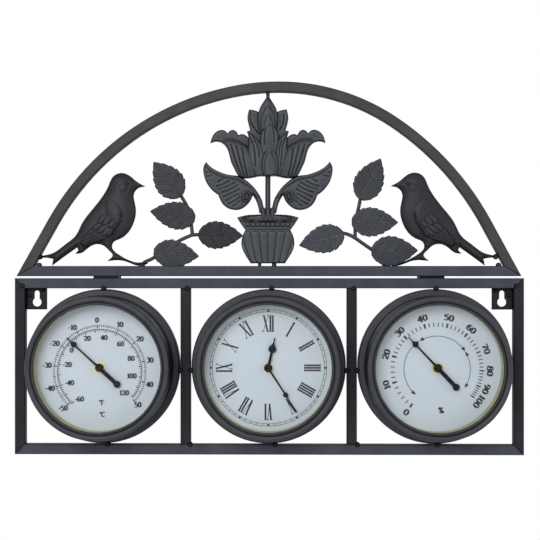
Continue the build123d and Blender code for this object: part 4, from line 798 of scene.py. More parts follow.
# Strokes of each sign in a box one unit high: its width, then lines, curves and rings
SIGNS = {
    "0": (0.60, [("ring", 0.30, 0.50, 0.21, 0.45)]),
    "1": (0.46, [("line", (0.25, 0.03), (0.25, 0.97)), ("line", (0.25, 0.95), (0.08, 0.80)),
                 ("line", (0.08, 0.03), (0.42, 0.03))]),
    "2": (0.60, [("curve", (0.10, 0.72), (0.14, 0.89), (0.30, 0.97), (0.47, 0.87), (0.49, 0.69),
                  (0.37, 0.46), (0.21, 0.25), (0.09, 0.06)), ("line", (0.07, 0.07), (0.54, 0.07)),
                 ("line", (0.53, 0.05), (0.55, 0.20))]),
    "3": (0.58, [("curve", (0.10, 0.80), (0.19, 0.94), (0.32, 0.96), (0.45, 0.84), (0.42, 0.63),
                  (0.22, 0.53)),
                 ("curve", (0.22, 0.53), (0.43, 0.47), (0.50, 0.26), (0.39, 0.07), (0.22, 0.03),
                  (0.07, 0.13))]),
    "4": (0.60, [("line", (0.42, 0.96), (0.05, 0.28)), ("line", (0.04, 0.28), (0.57, 0.28)),
                 ("line", (0.42, 0.97), (0.42, 0.03)), ("line", (0.28, 0.02), (0.55, 0.02))]),
    "5": (0.58, [("line", (0.15, 0.93), (0.50, 0.93)), ("line", (0.15, 0.94), (0.12, 0.52)),
                 ("curve", (0.12, 0.53), (0.28, 0.60), (0.44, 0.51), (0.50, 0.31), (0.41, 0.10), (0.24, 0.03),
                  (0.07, 0.12))]),
    "6": (0.60, [("curve", (0.48, 0.90), (0.33, 0.92), (0.17, 0.72), (0.10, 0.40), (0.17, 0.11), (0.31, 0.03),
                  (0.46, 0.12), (0.50, 0.31), (0.42, 0.50), (0.29, 0.55), (0.14, 0.42))]),
    "7": (0.56, [("line", (0.07, 0.93), (0.52, 0.93)), ("line", (0.08, 0.94), (0.06, 0.78)),
                 ("curve", (0.51, 0.93), (0.36, 0.62), (0.26, 0.30), (0.24, 0.03))]),
    "8": (0.60, [("ring", 0.30, 0.75, 0.16, 0.21), ("ring", 0.30, 0.28, 0.21, 0.25)]),
    "9": (0.60, [("curve", (0.12, 0.10), (0.27, 0.08), (0.43, 0.28), (0.50, 0.60), (0.43, 0.89), (0.29, 0.97),
                  (0.14, 0.88), (0.10, 0.69), (0.18, 0.50), (0.31, 0.45), (0.46, 0.58))]),
    "-": (0.36, [("line", (0.02, 0.44), (0.30, 0.44)), ("line", (0.02, 0.38), (0.30, 0.38))]),
    "F": (0.60, [("line", (0.17, 0.02), (0.17, 0.98)), ("line", (0.05, 0.96), (0.56, 0.96)),
                 ("line", (0.17, 0.52), (0.42, 0.52)), ("line", (0.05, 0.03), (0.30, 0.03)),
                 ("line", (0.55, 0.97), (0.55, 0.80))]),
    "C": (0.66, [("curve", (0.58, 0.80), (0.47, 0.93), (0.33, 0.97), (0.15, 0.84), (0.08, 0.50), (0.15, 0.16),
                  (0.33, 0.03), (0.48, 0.07), (0.60, 0.22)), ("line", (0.59, 0.76), (0.59, 0.96))]),
    "o": (0.30, [("ring", 0.14, 0.82, 0.09, 0.11)]),
    "%": (0.84, [("ring", 0.20, 0.76, 0.12, 0.18), ("ring", 0.64, 0.24, 0.12, 0.18),
                 ("line", (0.64, 0.98), (0.20, 0.02))]),
}

# Points round a sign's ring, and the step along its curves
RING_POINTS = 28
CURVE_STEP = 0.06


def clock_point(centre, angle, radius):
    """Place on a dial at an angle clockwise from the top, in degrees."""
    turn = radians(angle)
    return centre[0] + radius * sin(turn), centre[1] + radius * cos(turn)


def turned(point, centre, angle):
    """A point of a sign, turned clockwise about its own middle and put in place."""
    turn = radians(angle)
    x, z = point
    return centre[0] + x * cos(turn) + z * sin(turn), centre[1] - x * sin(turn) + z * cos(turn)


def stroke(points, thick, thin, closed=False):
    """Both sides of a pen stroke that is thick where it runs up and down, and thin where it runs across."""
    line = np.array(points, float)
    if closed:
        heading = np.roll(line, -1, axis=0) - np.roll(line, 1, axis=0)
    else:
        heading = np.gradient(line, axis=0)
    heading /= np.hypot(*heading.T)[:, None]
    width = thin + (thick - thin) * np.abs(heading[:, 1]) ** 1.5
    side = np.array([-heading[:, 1], heading[:, 0]]).T * width[:, None] / 2
    return line + side, line - side


def write_sign(ink, text, centre, height, pen, turn=0):
    """Numbers and unit signs, centred on a place and turned clockwise, in a pen's thick, thin and spread."""
    thick, thin, spread = pen
    start = -sum(SIGNS[sign][0] * spread for sign in text) / 2

    def place(point):
        return turned(((point[0] + start) * height, (point[1] - 0.5) * height), centre, turn)

    for sign in text:
        for kind, *values in SIGNS[sign][1]:
            if kind == "ring":
                x, z, across, tall = values
                turns = np.linspace(0, 2 * pi, RING_POINTS, endpoint=False)
                points = np.array([x * spread + across * spread * np.cos(turns), z + tall * np.sin(turns)]).T
            else:
                points = np.array(values, float) * (spread, 1)
                if kind == "curve":
                    points = smooth_run(points, CURVE_STEP)
            left, right = stroke(points, thick, thin, closed=kind == "ring")
            ink.band([(place(a), place(b)) for a, b in zip(left, right)], closed=kind == "ring")
        start += SIGNS[sign][0] * spread


def write_signs(ink, signs, centre, height, pen):
    """Upright signs, each at its own place from the middle of the print."""
    for text, (x, z) in signs.items():
        write_sign(ink, str(text), (centre[0] + x, centre[1] + z), height, pen)


def print_ring(ink, centre, radius, width, start=0.0, end=360.0):
    """Printed circle or arc."""
    whole = end - start >= 360
    angles = np.linspace(start, end, max(6, int((end - start) / 2) + 1), endpoint=not whole)
    sides = radius + width / 2, radius - width / 2
    ink.band([[clock_point(centre, angle, side) for side in sides] for angle in angles], closed=whole)


def print_mark(ink, centre, angle, inner, outer, width, outer_width=None):
    """Printed mark that points at the middle of the dial."""
    half = width / 2
    far = (outer_width or width) / 2
    corners = [(-half, inner), (half, inner), (far, outer), (-far, outer)]
    ink.patch([turned(corner, centre, angle) for corner in corners])


# Roman numerals: widths of the signs, of their bars, hairlines and feet, and how far in the ends of the bars
# and hairlines stand
ROMAN = {12: "XII", 1: "I", 2: "II", 3: "III", 4: "IIII", 5: "V", 6: "VI", 7: "VII", 8: "VIII", 9: "IX",
         10: "X", 11: "XI"}
ROMAN_WIDTH = {"I": 2.4, "V": 5.4, "X": 6.4}
ROMAN_BAR = 1.75
ROMAN_HAIR = 0.62
ROMAN_FOOT = 2.7
ROMAN_INSET = 0.35
HAIR_FOOT = 0.6
HAIR_HEAD = 0.8
# The feet are thinner than the bars that they cross
ROMAN_FOOT_THICK = PRINT_THICK * 0.9


def roman_strokes(sign, width, height):
    """Bars of one Roman sign, each with its foot, head and thickness, and the ends that have feet."""
    half = height / 2
    edge = ROMAN_BAR / 2
    if sign == "I":
        middle = [(width / 2, -half), (width / 2, half)]
        return [(*middle, ROMAN_BAR)], middle
    head = (edge + ROMAN_INSET, half)
    hair_head = (width - HAIR_HEAD, half)
    if sign == "V":
        foot = (width / 2, -half)
        return [(foot, head, ROMAN_BAR), (foot, hair_head, ROMAN_HAIR)], [head, hair_head]
    foot = (width - edge - ROMAN_INSET, -half)
    hair_foot = (HAIR_FOOT, -half)
    return [(foot, head, ROMAN_BAR), (hair_foot, hair_head, ROMAN_HAIR)], [foot, head, hair_foot, hair_head]


def write_roman(ink, text, centre, angle, radius, height):
    """Roman numeral with its feet to the middle of the dial."""
    start = -sum(ROMAN_WIDTH[sign] for sign in text) / 2
    for sign in text:
        bars, ends = roman_strokes(sign, ROMAN_WIDTH[sign], height)
        forms = []
        for (x0, z0), (x1, z1), thick in bars:
            forms.append(([(x0 - thick / 2, z0), (x0 + thick / 2, z0), (x1 + thick / 2, z1),
                           (x1 - thick / 2, z1)], PRINT_THICK))
        for x, z in ends:
            low, high = sorted((z, z - ROMAN_HAIR if z > 0 else z + ROMAN_HAIR))
            forms.append(([(x - ROMAN_FOOT / 2, low), (x + ROMAN_FOOT / 2, low), (x + ROMAN_FOOT / 2, high),
                           (x - ROMAN_FOOT / 2, high)], ROMAN_FOOT_THICK))
        for corners, thick in forms:
            ink.patch([turned((start + x, radius + z), centre, angle) for x, z in corners], thick)
        start += ROMAN_WIDTH[sign]


# The minute track: half its width, its lines and its five-minute marks
TRACK_HALF = 1.1
TRACK_LINE = 0.46
FIVE_MARK = 2.0


def print_clock():
    """Minute track, five-minute marks and Roman numerals."""
    centre = (CASE_X["clock"], CASE_Z)
    track = setting("clock_dials", "track_radius")
    fine, bold = Print(), Print()
    for radius in (track - TRACK_HALF, track + TRACK_HALF):
        print_ring(fine, centre, radius, TRACK_LINE)
    for minute in range(60):
        ink, width = (fine, TRACK_LINE) if minute % 5 else (bold, FIVE_MARK)
        print_mark(ink, centre, minute * 6, track - TRACK_HALF, track + TRACK_HALF, width)
    for hour, text in ROMAN.items():
        write_roman(bold, text, centre, hour * 30, setting("clock_dials", "roman_radius"),
                    setting("clock_dials", "roman_height"))
    fine.finish("clock_track_print")
    bold.finish("clock_numeral_print")


# The thermometer's scale, printed a little low and turned on its sheet
THERMOMETER_PRINT = (0.0, -3.9)
THERMOMETER_TURN = -3.0
DEGREES_PER_CELSIUS = 2.66
CELSIUS_SIGNS = {0: (-2.6, 50.0), 10: (19.9, 45.7), 20: (39.1, 31.7), 30: (48.8, 11.3), 40: (48.5, -12.3),
                 50: (37.1, -32.0), -10: (-26.4, 42.8), -20: (-43.4, 27.3), -30: (-51.1, 6.2),
                 -40: (-48.1, -16.2), -50: (-35.5, -35.3)}
FAHRENHEIT_SIGNS = {40: (4.3, 33.0), 20: (-12.0, 32.2), 60: (20.2, 27.0), 80: (30.5, 12.9),
                    100: (31.2, -4.1), 120: (23.8, -20.5), 0: (-27.3, 20.8), -20: (-31.5, 6.8),
                    -40: (-29.2, -10.8), -60: (-19.7, -26.6)}
UNIT_SIGNS = {"oF": (1.9, -30.0), "oC": (2.6, -41.4)}
# Marks of each scale: every so many degrees, a length and a width
CELSIUS_MARKS = ((10, 3.4, 1.25), (5, 2.7, 1.00), (1, 2.1, 0.86))
FAHRENHEIT_MARKS = ((10, 2.9, 1.05), (2, 2.0, 0.74))
SCALE_LINE = 0.62
# Heights of the signs, and the thick, thin and spread of the pens
CELSIUS_HEIGHT = 5.0
FAHRENHEIT_HEIGHT = 4.8
UNIT_HEIGHT = 4.9
NUMBER_PEN = (0.34, 0.17, 1.16)
UNIT_PEN = (0.27, 0.14, 1.05)


def celsius_angle(value):
    """Angle of a place on the Celsius scale."""
    return THERMOMETER_TURN + value * DEGREES_PER_CELSIUS


def fahrenheit_angle(value):
    """Angle of a place on the Fahrenheit scale."""
    return THERMOMETER_TURN + (value - 32) / 1.8 * DEGREES_PER_CELSIUS


def print_scale(fine, bold, centre, values, angle_of, marks, radius):
    """Marks of a scale that end on a circle, the least ones fine and the others bold."""
    for value in values:
        mark = next(mark for mark in marks if value % mark[0] == 0)
        _, length, width = mark
        ink = fine if mark is marks[-1] else bold
        print_mark(ink, centre, angle_of(value), radius - length, radius, width)


def print_thermometer():
    """Celsius marks outside, Fahrenheit marks on a circle inside, and their numbers."""
    centre = (CASE_X["thermometer"] + THERMOMETER_PRINT[0], CASE_Z + THERMOMETER_PRINT[1])
    circle = setting("clock_dials", "fahrenheit_radius")
    fine, bold = Print(), Print()
    print_scale(fine, bold, centre, range(-50, 51), celsius_angle, CELSIUS_MARKS,
                setting("clock_dials", "celsius_radius"))
    print_scale(fine, bold, centre, range(-60, 121, 2), fahrenheit_angle, FAHRENHEIT_MARKS, circle)
    print_ring(fine, centre, circle, SCALE_LINE, fahrenheit_angle(-60), fahrenheit_angle(120))
    write_signs(bold, CELSIUS_SIGNS, centre, CELSIUS_HEIGHT, NUMBER_PEN)
    write_signs(bold, FAHRENHEIT_SIGNS, centre, FAHRENHEIT_HEIGHT, NUMBER_PEN)
    write_signs(fine, UNIT_SIGNS, centre, UNIT_HEIGHT, UNIT_PEN)
    fine.finish("thermometer_mark_print")
    bold.finish("thermometer_number_print")


# The hygrometer's uneven scale: the angle of every tenth mark, and the ends of its three zones
HYGROMETER_PRINT = (-0.5, -1.2)
HUMIDITY_ANGLES = [-144.5, -107.4, -73.7, -45.0, -16.1, 13.1, 40.3, 67.6, 91.9, 112.1, 127.6]
ZONE_ENDS = (-140.3, -32.0, 57.7, 124.4)
# Half the lengths of the tenth and the other marks, and their widths. The tenth marks get wider outwards, and
# are narrower where the scale is close.
TENTH_HALF = 2.3
OTHER_HALF = 2.0
OTHER_WIDTH = 0.95
TENTH_WIDTH = 1.6
CLOSE_WIDTH = 1.2
CLOSE_FROM = 60
TENTH_FLARE = 1.35
HUMIDITY_RING = 51.0
HUMIDITY_HEIGHT = 5.9
HUMIDITY_PEN = (0.36, 0.17, 1.40)
PERCENT_SIGN = {"%": (3.9, -39.6)}
PERCENT_HEIGHT = 6.2
PERCENT_PEN = (0.24, 0.13, 1.0)
# The zones: radius of the arcs, the degrees left bare at each end, and the wedges there, whose tip and base
# are each given as a place beside the end and half a width
ZONE_RADIUS = 32.0
ZONE_GAP = 5.5
WEDGE_TIP = (0.4, 0.3)
WEDGE_BASE = (4.6, 1.9)


def print_hygrometer():
    """Humidity marks and numbers, with plain arcs for the three zones."""
    centre = (CASE_X["hygrometer"] + HYGROMETER_PRINT[0], CASE_Z + HYGROMETER_PRINT[1])
    middle = setting("clock_dials", "humidity_radius")
    fine, bold = Print(), Print()
    for ten, angle in enumerate(HUMIDITY_ANGLES):
        width = TENTH_WIDTH if angle < CLOSE_FROM else CLOSE_WIDTH
        print_mark(bold, centre, angle, middle - TENTH_HALF, middle + TENTH_HALF, width, width * TENTH_FLARE)
        write_sign(bold, str(10 * ten), clock_point(centre, angle, HUMIDITY_RING), HUMIDITY_HEIGHT,
                   HUMIDITY_PEN, angle)
    for angle, following in zip(HUMIDITY_ANGLES, HUMIDITY_ANGLES[1:]):
        for small in range(1, 5):
            part = angle + (following - angle) * small / 5
            print_mark(fine, centre, part, middle - OTHER_HALF, middle + OTHER_HALF, OTHER_WIDTH)
    (tip, tip_half), (base, base_half) = WEDGE_TIP, WEDGE_BASE
    for start, end in zip(ZONE_ENDS, ZONE_ENDS[1:]):
        print_ring(fine, centre, ZONE_RADIUS, SCALE_LINE, start + ZONE_GAP, end - ZONE_GAP)
    for place, angle in enumerate(ZONE_ENDS):
        if place > 0:
            bold.patch([turned(corner, centre, angle) for corner in
                        ((-tip, ZONE_RADIUS + tip_half), (-base, ZONE_RADIUS + base_half),
                         (-base, ZONE_RADIUS - base_half), (-tip, ZONE_RADIUS - tip_half))])
        if place < len(ZONE_ENDS) - 1:
            bold.patch([turned(corner, centre, angle) for corner in
                        ((tip, ZONE_RADIUS - tip_half), (base, ZONE_RADIUS - base_half),
                         (base, ZONE_RADIUS + base_half), (tip, ZONE_RADIUS + tip_half))])
    write_signs(fine, PERCENT_SIGN, centre, PERCENT_HEIGHT, PERCENT_PEN)
    fine.finish("hygrometer_mark_print")
    bold.finish("hygrometer_number_print")


# Cast ornaments, each drawn in the arch's own frame: X, and height over the foot of the sill

ORNAMENT_X = -0.8
PLATE = ORNAMENT_BACK + 1.4

# Each pair below is a rise and a width: of a round in from an edge, or of a ridge along a line
CAST_BACK_ROUND = (0.7, 1.2)


def cast_back(points, edge):
    """Flat back of a casting, with a small round at its edge."""
    rise, width = CAST_BACK_ROUND
    return ORNAMENT_BACK + rise * (1 - dome(edge, width))


# Birds: outline from the tail over the back to the beak, then down to the twig and back
BIRD_BACK = [(-229, 20.2), (-216.3, 22.8), (-203.3, 31.9), (-193.8, 39.8), (-187.6, 51.5), (-178.4, 64.3),
             (-166, 80.3), (-160.8, 89.8), (-156.3, 98.6), (-148, 102.2), (-140.2, 99.6), (-132.5, 93.4),
             (-124.8, 89.2)]
BIRD_BREAST = [(-124.8, 88.6), (-131.5, 86.9), (-135.6, 81.5), (-134.9, 73), (-133.7, 64), (-135.6, 53.8),
               (-141.2, 43.4), (-149.7, 36.8), (-155.8, 33.6), (-157.4, 29.6), (-150.3, 21.1),
               (-139.9, 15.6), (-130, 13.6), (-122.2, 15.9)]
BIRD_TWIG = [(-122.2, 12.2), (-130, 10.2), (-137.9, 12.3), (-148.4, 15.6), (-155, 15.7), (-161.4, 14.9)]
BIRD_TOE = [(-161.4, 15.7), (-158.8, 17.7), (-156.8, 20.3), (-159.7, 24.8), (-166, 30.3), (-172, 31.7),
            (-181, 28), (-187.6, 23.1), (-193.5, 22.2)]
BIRD_NOTCH = [(-193.5, 23), (-190.9, 26.3), (-192.2, 28.3)]
BIRD_TAIL = [(-192.2, 28.3), (-204.6, 19.5), (-217, 10.4)]
BIRD_FORK = [(-215.7, 17.1), (-223, 18.2), (-229, 18.2)]
BIRD_RUNS = [BIRD_BACK, [BIRD_BACK[-1], BIRD_BREAST[0]], BIRD_BREAST, [BIRD_BREAST[-1], BIRD_TWIG[0]],
             BIRD_TWIG, [BIRD_TWIG[-1], BIRD_TOE[0]], BIRD_TOE, [BIRD_TOE[-1], BIRD_NOTCH[0]], BIRD_NOTCH,
             BIRD_TAIL, [BIRD_TAIL[-1], BIRD_FORK[0]], BIRD_FORK, [BIRD_FORK[-1], BIRD_BACK[0]]]
BIRD_WING = chained([(-149.5, 57), (-151, 66.5), (-158, 70), (-169, 63.5), (-179, 53.5), (-187.5, 37.5)],
                    [(-175, 38.5), (-162, 42), (-153, 48.5), (-149.5, 57)])
BIRD_BEAK = [(-136, 93.2), (-124.8, 88.9)]
BIRD_EYE = (-141.1, 90.7)
BIRD_CHEEK = (-145.2, 87.0)
BIRD_LEG = [(-150.5, 40.5), (-160.5, 30.5), (-171, 27.6), (-190, 24.6)]
WING_EDGE = [(-147.6, 61.5), (-150.0, 54.6), (-153.4, 48.4), (-157.5, 41.6)]

# Feathers of the wing from the long ones forward: base, tip and half the width
LONG_FEATHERS = [((-158.3, 41.6), (-184.4, 30.9), 2.6), ((-162.4, 43.2), (-186.4, 32.6), 2.8),
                 ((-166.5, 45.0), (-185.1, 36.0), 2.8), ((-169.2, 48.4), (-179.6, 41.6), 2.9)]
MIDDLE_FEATHERS = [((-154.1, 47.1), (-160.3, 39.9), 2.4), ((-156.9, 48.4), (-165.1, 40.2), 2.6),
                   ((-161.0, 50.5), (-169.9, 42.9), 2.7), ((-166.5, 52.6), (-174.7, 45.7), 2.8)]
UPPER_FEATHERS = [((-150.0, 53.9), (-154.8, 47.1), 2.5), ((-152.7, 56.0), (-158.9, 48.4), 2.7),
                  ((-158.2, 58.1), (-164.4, 50.9), 2.8), ((-163.7, 59.4), (-169.2, 52.6), 2.9)]
SHOULDER = [((-158.5, 71.5), (-150.0, 53.5), 7.0)]
# The middle of a feather, half its length, its rise at the base and the power of its round
FEATHER_MIDDLE = 0.45
FEATHER_HALF = 0.62
FEATHER_FOOT = 0.35
FEATHER_ROUND = 0.7
# The wing's front edge and how far it shows outside the wing, then how deep the rim of the bird lies
WING_FRONT = (1.15, 1.8)
WING_REACH = 2
BIRD_SINK = 1.6
BODY_ROUND = (6.6, 17.0)
CHEEK_RISE = (0.55, 5.0)
CHEEK_FOLD = (0.35, 0.9)
CHEEK_R = 4.6
EYE_RISE = (0.9, 1.5)
EYE_FOLD = (0.55, 0.8)
EYE_FOLD_R = 2.1
BEAK_RIDGE = (0.7, 1.8)
LEG_RIDGE = (0.5, 1.4)


def lay_feather(depth, points, base, tip, half):
    """Lay one feather over the depths that are there, thickest at its rounded tip."""
    along = np.array(tip) - base
    length = hypot(*along)
    along = along / length
    share = (points - base) @ along / length
    off = (points - base) @ np.array([-along[1], along[0]])
    width = half * np.sqrt(np.clip(1 - ((share - FEATHER_MIDDLE) / FEATHER_HALF) ** 2, 0, 1))
    across = np.abs(off) / np.maximum(width, 0.01)
    rise = FEATHER_FOOT + (1 - FEATHER_FOOT) * np.clip(share, 0, 1)
    rise = rise * np.clip(1 - across ** 2, 0, 1) ** FEATHER_ROUND
    return np.where(width > 0, np.maximum(depth, rise), depth)


def wing_depth(points):
    """How far the wing's feathers stand over the bird's body."""
    held = depth_inside(points, closed_outline(BIRD_WING, 1.0))
    depth = np.zeros(len(points))
    for row in (LONG_FEATHERS, MIDDLE_FEATHERS, UPPER_FEATHERS, SHOULDER):
        for base, tip, half in row:
            depth = lay_feather(depth, points, base, tip, half)
    return np.maximum(depth, groove(points, WING_EDGE, *WING_FRONT) * (held > -WING_REACH))


def bird_front(points, edge):
    """Front of a bird: rounded body with its wing, cheek, eye, beak and leg."""
    depth = PLATE - BIRD_SINK + swell(edge, *BODY_ROUND)
    depth += setting("clock_reliefs", "wing_rise") * wing_depth(points)
    cheek = np.hypot(*(points - BIRD_CHEEK).T)
    depth += bead(cheek, *CHEEK_RISE) - bead(cheek - CHEEK_R, *CHEEK_FOLD)
    eye = np.hypot(*(points - BIRD_EYE).T)
    depth += swell(EYE_RISE[1] - eye, *EYE_RISE) - bead(eye - EYE_FOLD_R, *EYE_FOLD)
    depth += bead(distance_to(points, BIRD_BEAK), *BEAK_RIDGE)
    return depth + groove(points, BIRD_LEG, *LEG_RIDGE)


def build_bird(name, side):
    """One cast bird with its leg, foot and twig. The side is -1 at the left and 1 at the right."""
    low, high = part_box(name)
    grid = setting("clock_reliefs", "grid")
    outline = closed_outline(BIRD_RUNS, grid)
    tail = outline[:, 0].min()
    shift = (low.x / MM - tail if side < 0 else high.x / MM + tail, 0)
    wing_edge = smooth_run(WING_EDGE, 0.7) * (-side, 1) + shift

    def own_front(points, edge):
        return bird_front((points - shift) * (-side, 1), edge)

    return relief(name + "_cast", (outline if side < 0 else swapped(outline)) + shift, grid, own_front,
                  cast_back, bird_paint(), [wing_edge])


# Flower: half outline from the stub on the arch round the bud, petal, sepal and scalloped lip
FLOWER_HALF = chained([(0, 184), (2, 184)], [(1.7, 176.5)], [(5.1, 171.2), (7.8, 166.5), (9.2, 162.3)],
                      [(13.6, 164), (18.6, 164.7)], [(20.2, 155.8), (19.4, 150.9), (17.5, 143.9)],
                      [(20.8, 143.1)], [(19, 136.8)], [(23, 139.8), (26.5, 140.4), (29.2, 139.4)],
                      [(31.5, 143.2), (35, 144.6), (38, 143.3), (39.8, 141.1)], [(42.5, 143.8), (46, 144.6),
                      (51, 142.8), (54.8, 138.3), (56.9, 131.3)], [(53.5, 132.6), (48, 132.6), (42.6, 129.2),
                      (39.3, 123.5), (36.5, 113), (33.7, 106.8), (31, 101.5), (28, 98), (23, 96.4)],
                      [(15, 97), (9.5, 98.2), (0, 98)])
CUP = both_halves(chained([(0, 124), (16, 124)], [(19.3, 125.8), (23.7, 128.5), (30.7, 132), (37.7, 133.7),
                          (44.7, 132)], [(39.6, 123.5), (36.8, 113), (34, 106.8), (31.2, 101.5), (28, 97.5)],
                          [(15, 96.5), (0, 97)]))
SEPALS = both_halves(chained([(0, 128), (8.5, 132)], [(13, 137), (20.8, 142.6)], [(19, 135), (19.4, 126),
                             (19.1, 116.3), (15.5, 104), (11, 97)], [(0, 97)]))
BUD = chained([(-0.7, 176), (-6, 169.5), (-9.6, 162), (-9.8, 151), (-8, 140)], [(8, 140)], [(9.8, 151),
              (9.2, 162), (5, 169.5), (-0.7, 176)])
BUD_LEAF = chained([(-0.1, 168.4), (-4.9, 161.5), (-6.9, 152.3), (-6.7, 143)], [(7.4, 143)], [(7.4, 152.3),
                   (5.2, 161.5), (-0.1, 168.4)])
BUD_HEART = chained([(0.2, 160.3), (-2.4, 155), (-3.9, 148), (-4, 141)], [(5, 141)], [(5, 148), (3.4, 155),
                    (0.2, 160.3)])
MIDDLE_PETAL = chained([(0.9, 150.4), (-3.6, 145.4), (-6.9, 138.8), (-7.6, 130), (-6, 120)], [(8, 120)],
                       [(10.8, 132), (10, 140.5), (6.4, 146.2), (0.9, 150.4)])
FRONT_PETAL = chained([(1.7, 128), (-3.1, 121.4), (-5.9, 112.1), (-5.6, 104), (-3.7, 97.6)], [(8.9, 97.6)],
                      [(10.4, 105), (10.2, 112.1), (7.9, 121.4), (1.7, 128)])
FRONT_HEART = chained([(1.7, 123.5), (-1.6, 117), (-3, 109), (-2.0, 97.6)], [(6.2, 97.6)], [(7.4, 109),
                      (5.4, 117), (1.7, 123.5)])
# Each layer: outline, height of its edge, height of its middle over that, and how far in it gets there
FLOWER_LAYERS = [(CUP, 1.0, 1.9, 12.0), (SEPALS, 1.7, 1.5, 6.0), (BUD, 0.9, 1.6, 8.0),
                 (BUD_LEAF, 1.9, 1.2, 6.0), (BUD_HEART, 2.6, 0.9, 4.0), (MIDDLE_PETAL, 2.7, 1.3, 6.5),
                 (FRONT_PETAL, 3.2, 1.2, 6.0), (FRONT_HEART, 4.0, 0.8, 3.5)]
PETAL_GROOVES = [[(-17.6, 161.3), (-17, 152.9), (-13, 145.7), (-8.9, 140.3)],
                 [(15.6, 159.5), (15, 151.1), (11.6, 143.9)],
                 [(-17.5, 135.5), (-14.5, 128.9), (-12.7, 119.3), (-12, 108)],
                 [(-12.7, 133.7), (-9.5, 127.1), (-8.4, 118)],
                 [(17.3, 135.5), (14.9, 128.9), (13.7, 119.3), (13, 108)],
                 [(13.5, 133.7), (12, 127.1), (11.6, 118)],
                 [(-2.5, 143.9), (-3.3, 136), (-3.1, 129)], [(5.2, 145.1), (6.4, 138), (6.2, 131.9)]]
LIP_ROLL = [(-46.5, 131.6), (-37.7, 133.9), (-30.7, 132.2), (-23.7, 128.6), (-19.4, 126)]
CUP_RIBS = [[(-41.0, 128.0), (-38, 117), (-30.6, 100.5)], [(-36.3, 129.5), (-33, 117), (-26.6, 99.5)],
            [(-30.6, 128.4), (-28, 116), (-23.4, 99)], [(-24.7, 125.5), (-23.4, 114), (-20.3, 98.5)]]
# How deep the rim of the flower lies, its rounds, and the width of the step at a petal's edge
FLOWER_SINK = 1.6
FLOWER_EDGE = (2.4, 2.4)
FLOWER_FOOT = (0.6, 4.0)
PETAL_STEP = 0.5
PETAL_GROOVE = (-0.8, 1.6)
# Shares of the rib rise, and widths
LIP_ROLL_SHARE = 1.5
LIP_ROLL_WIDTH = 1.8
CUP_RIB_SHARE = -1.1
CUP_RIB_WIDTH = 1.9


def flower_front(points, edge):
    """Front of the flower: flared lip, ribbed cup, sepals, bud and petals, each over the ones behind."""
    local = points - (ORNAMENT_X, 0)
    rib = setting("clock_reliefs", "rib_rise")
    height = swell(edge, *FLOWER_FOOT)
    for outline, foot, middle, reach in FLOWER_LAYERS:
        inside = depth_inside(local, closed_outline(outline, 1.0))
        height = np.maximum(height, (foot + swell(inside, middle, reach)) * step_up(inside, PETAL_STEP))
    depth = PLATE - FLOWER_SINK + swell(edge, *FLOWER_EDGE)
    depth += setting("clock_reliefs", "petal_rise") * height
    for line in PETAL_GROOVES:
        depth += groove(local, line, *PETAL_GROOVE)
    folded = np.array([-np.abs(local[:, 0]), local[:, 1]]).T
    depth += groove(folded, LIP_ROLL, rib * LIP_ROLL_SHARE, LIP_ROLL_WIDTH)
    for line in CUP_RIBS:
        depth += groove(folded, line, rib * CUP_RIB_SHARE, CUP_RIB_WIDTH)
    return depth


def build_flower():
    """Flower head with its bud, petals and cup."""
    grid = setting("clock_reliefs", "grid")
    outline = closed_outline(both_halves(FLOWER_HALF), grid)
    return relief("flower_cast", outline + (ORNAMENT_X, 0), grid, flower_front, cast_back, flower_paint())


FLOWER_STEM_R = 2.6
FLOWER_STEM_DEPTH = 4.6
FLOWER_STEM_Z = (60.5, 98.6)
# The strands round the stem: where they stand, how far they lean out, and their size
COLLAR_FEET = (-4.3, 0.0, 4.3)
COLLAR_LEAN = 1.1
COLLAR_Z = (57.5, 65.5)
COLLAR_DEPTH = FLOWER_STEM_DEPTH + 0.6
COLLAR_R = 2.5


def build_flower_stem():
    """Round stem under the flower, with three short strands round it in the pot."""
    spine = [(ORNAMENT_X, FLOWER_STEM_DEPTH, SILL_Z + z) for z in np.linspace(*FLOWER_STEM_Z, 14)]
    pieces = [rod("flower_stem_rod", spine, FLOWER_STEM_R, flower_paint())]
    low, high = COLLAR_Z
    for number, foot in enumerate(COLLAR_FEET):
        points = smooth_run([(ORNAMENT_X + foot, low), (ORNAMENT_X + foot * COLLAR_LEAN, high)], 1.2)
        pieces.append(rod(f"flower_collar_{number + 1}", [(x, COLLAR_DEPTH, SILL_Z + z) for x, z in points],
                          COLLAR_R, flower_paint(), sides=16))
    return pieces


# Scroll leaves beside the stem
SCROLL_RUNS = chained([(3.2, 62), (4.3, 68.4), (5.9, 75), (9.2, 81.5), (13.2, 87.2), (18.1, 92.1), (23.2, 96),
                      (29.8, 99.2), (35.3, 99.8), (40.2, 100.6), (47.5, 103.1), (53.2, 105.9), (58.1, 109.6),
                      (61, 113.1)], [(63.4, 109), (63.9, 103.5), (63, 98.6), (61, 92.9), (58.1, 88.4),
                      (54.1, 83.9), (49, 80.2)], [(47.5, 76.1), (44.3, 70.8), (40.2, 67.5), (35.3, 65.7),
                      (31.2, 65.3), (26.3, 66.3), (21.4, 69.6), (17.7, 73.7), (15.9, 77.3), (14.9, 79.8)],
                      [(12, 75), (9.6, 68.4), (8.4, 62)], [(3.2, 62)])
SCROLL_EYE = (21.6, 79.2)
SCROLL_SPINE = [(10.6, 78.5), (14.3, 86.7), (20.0, 91.6), (26.3, 95.7), (33.1, 98.3), (40.6, 99.8),
                (48.1, 102.1), (54.8, 105.8), (60.5, 110.7)]
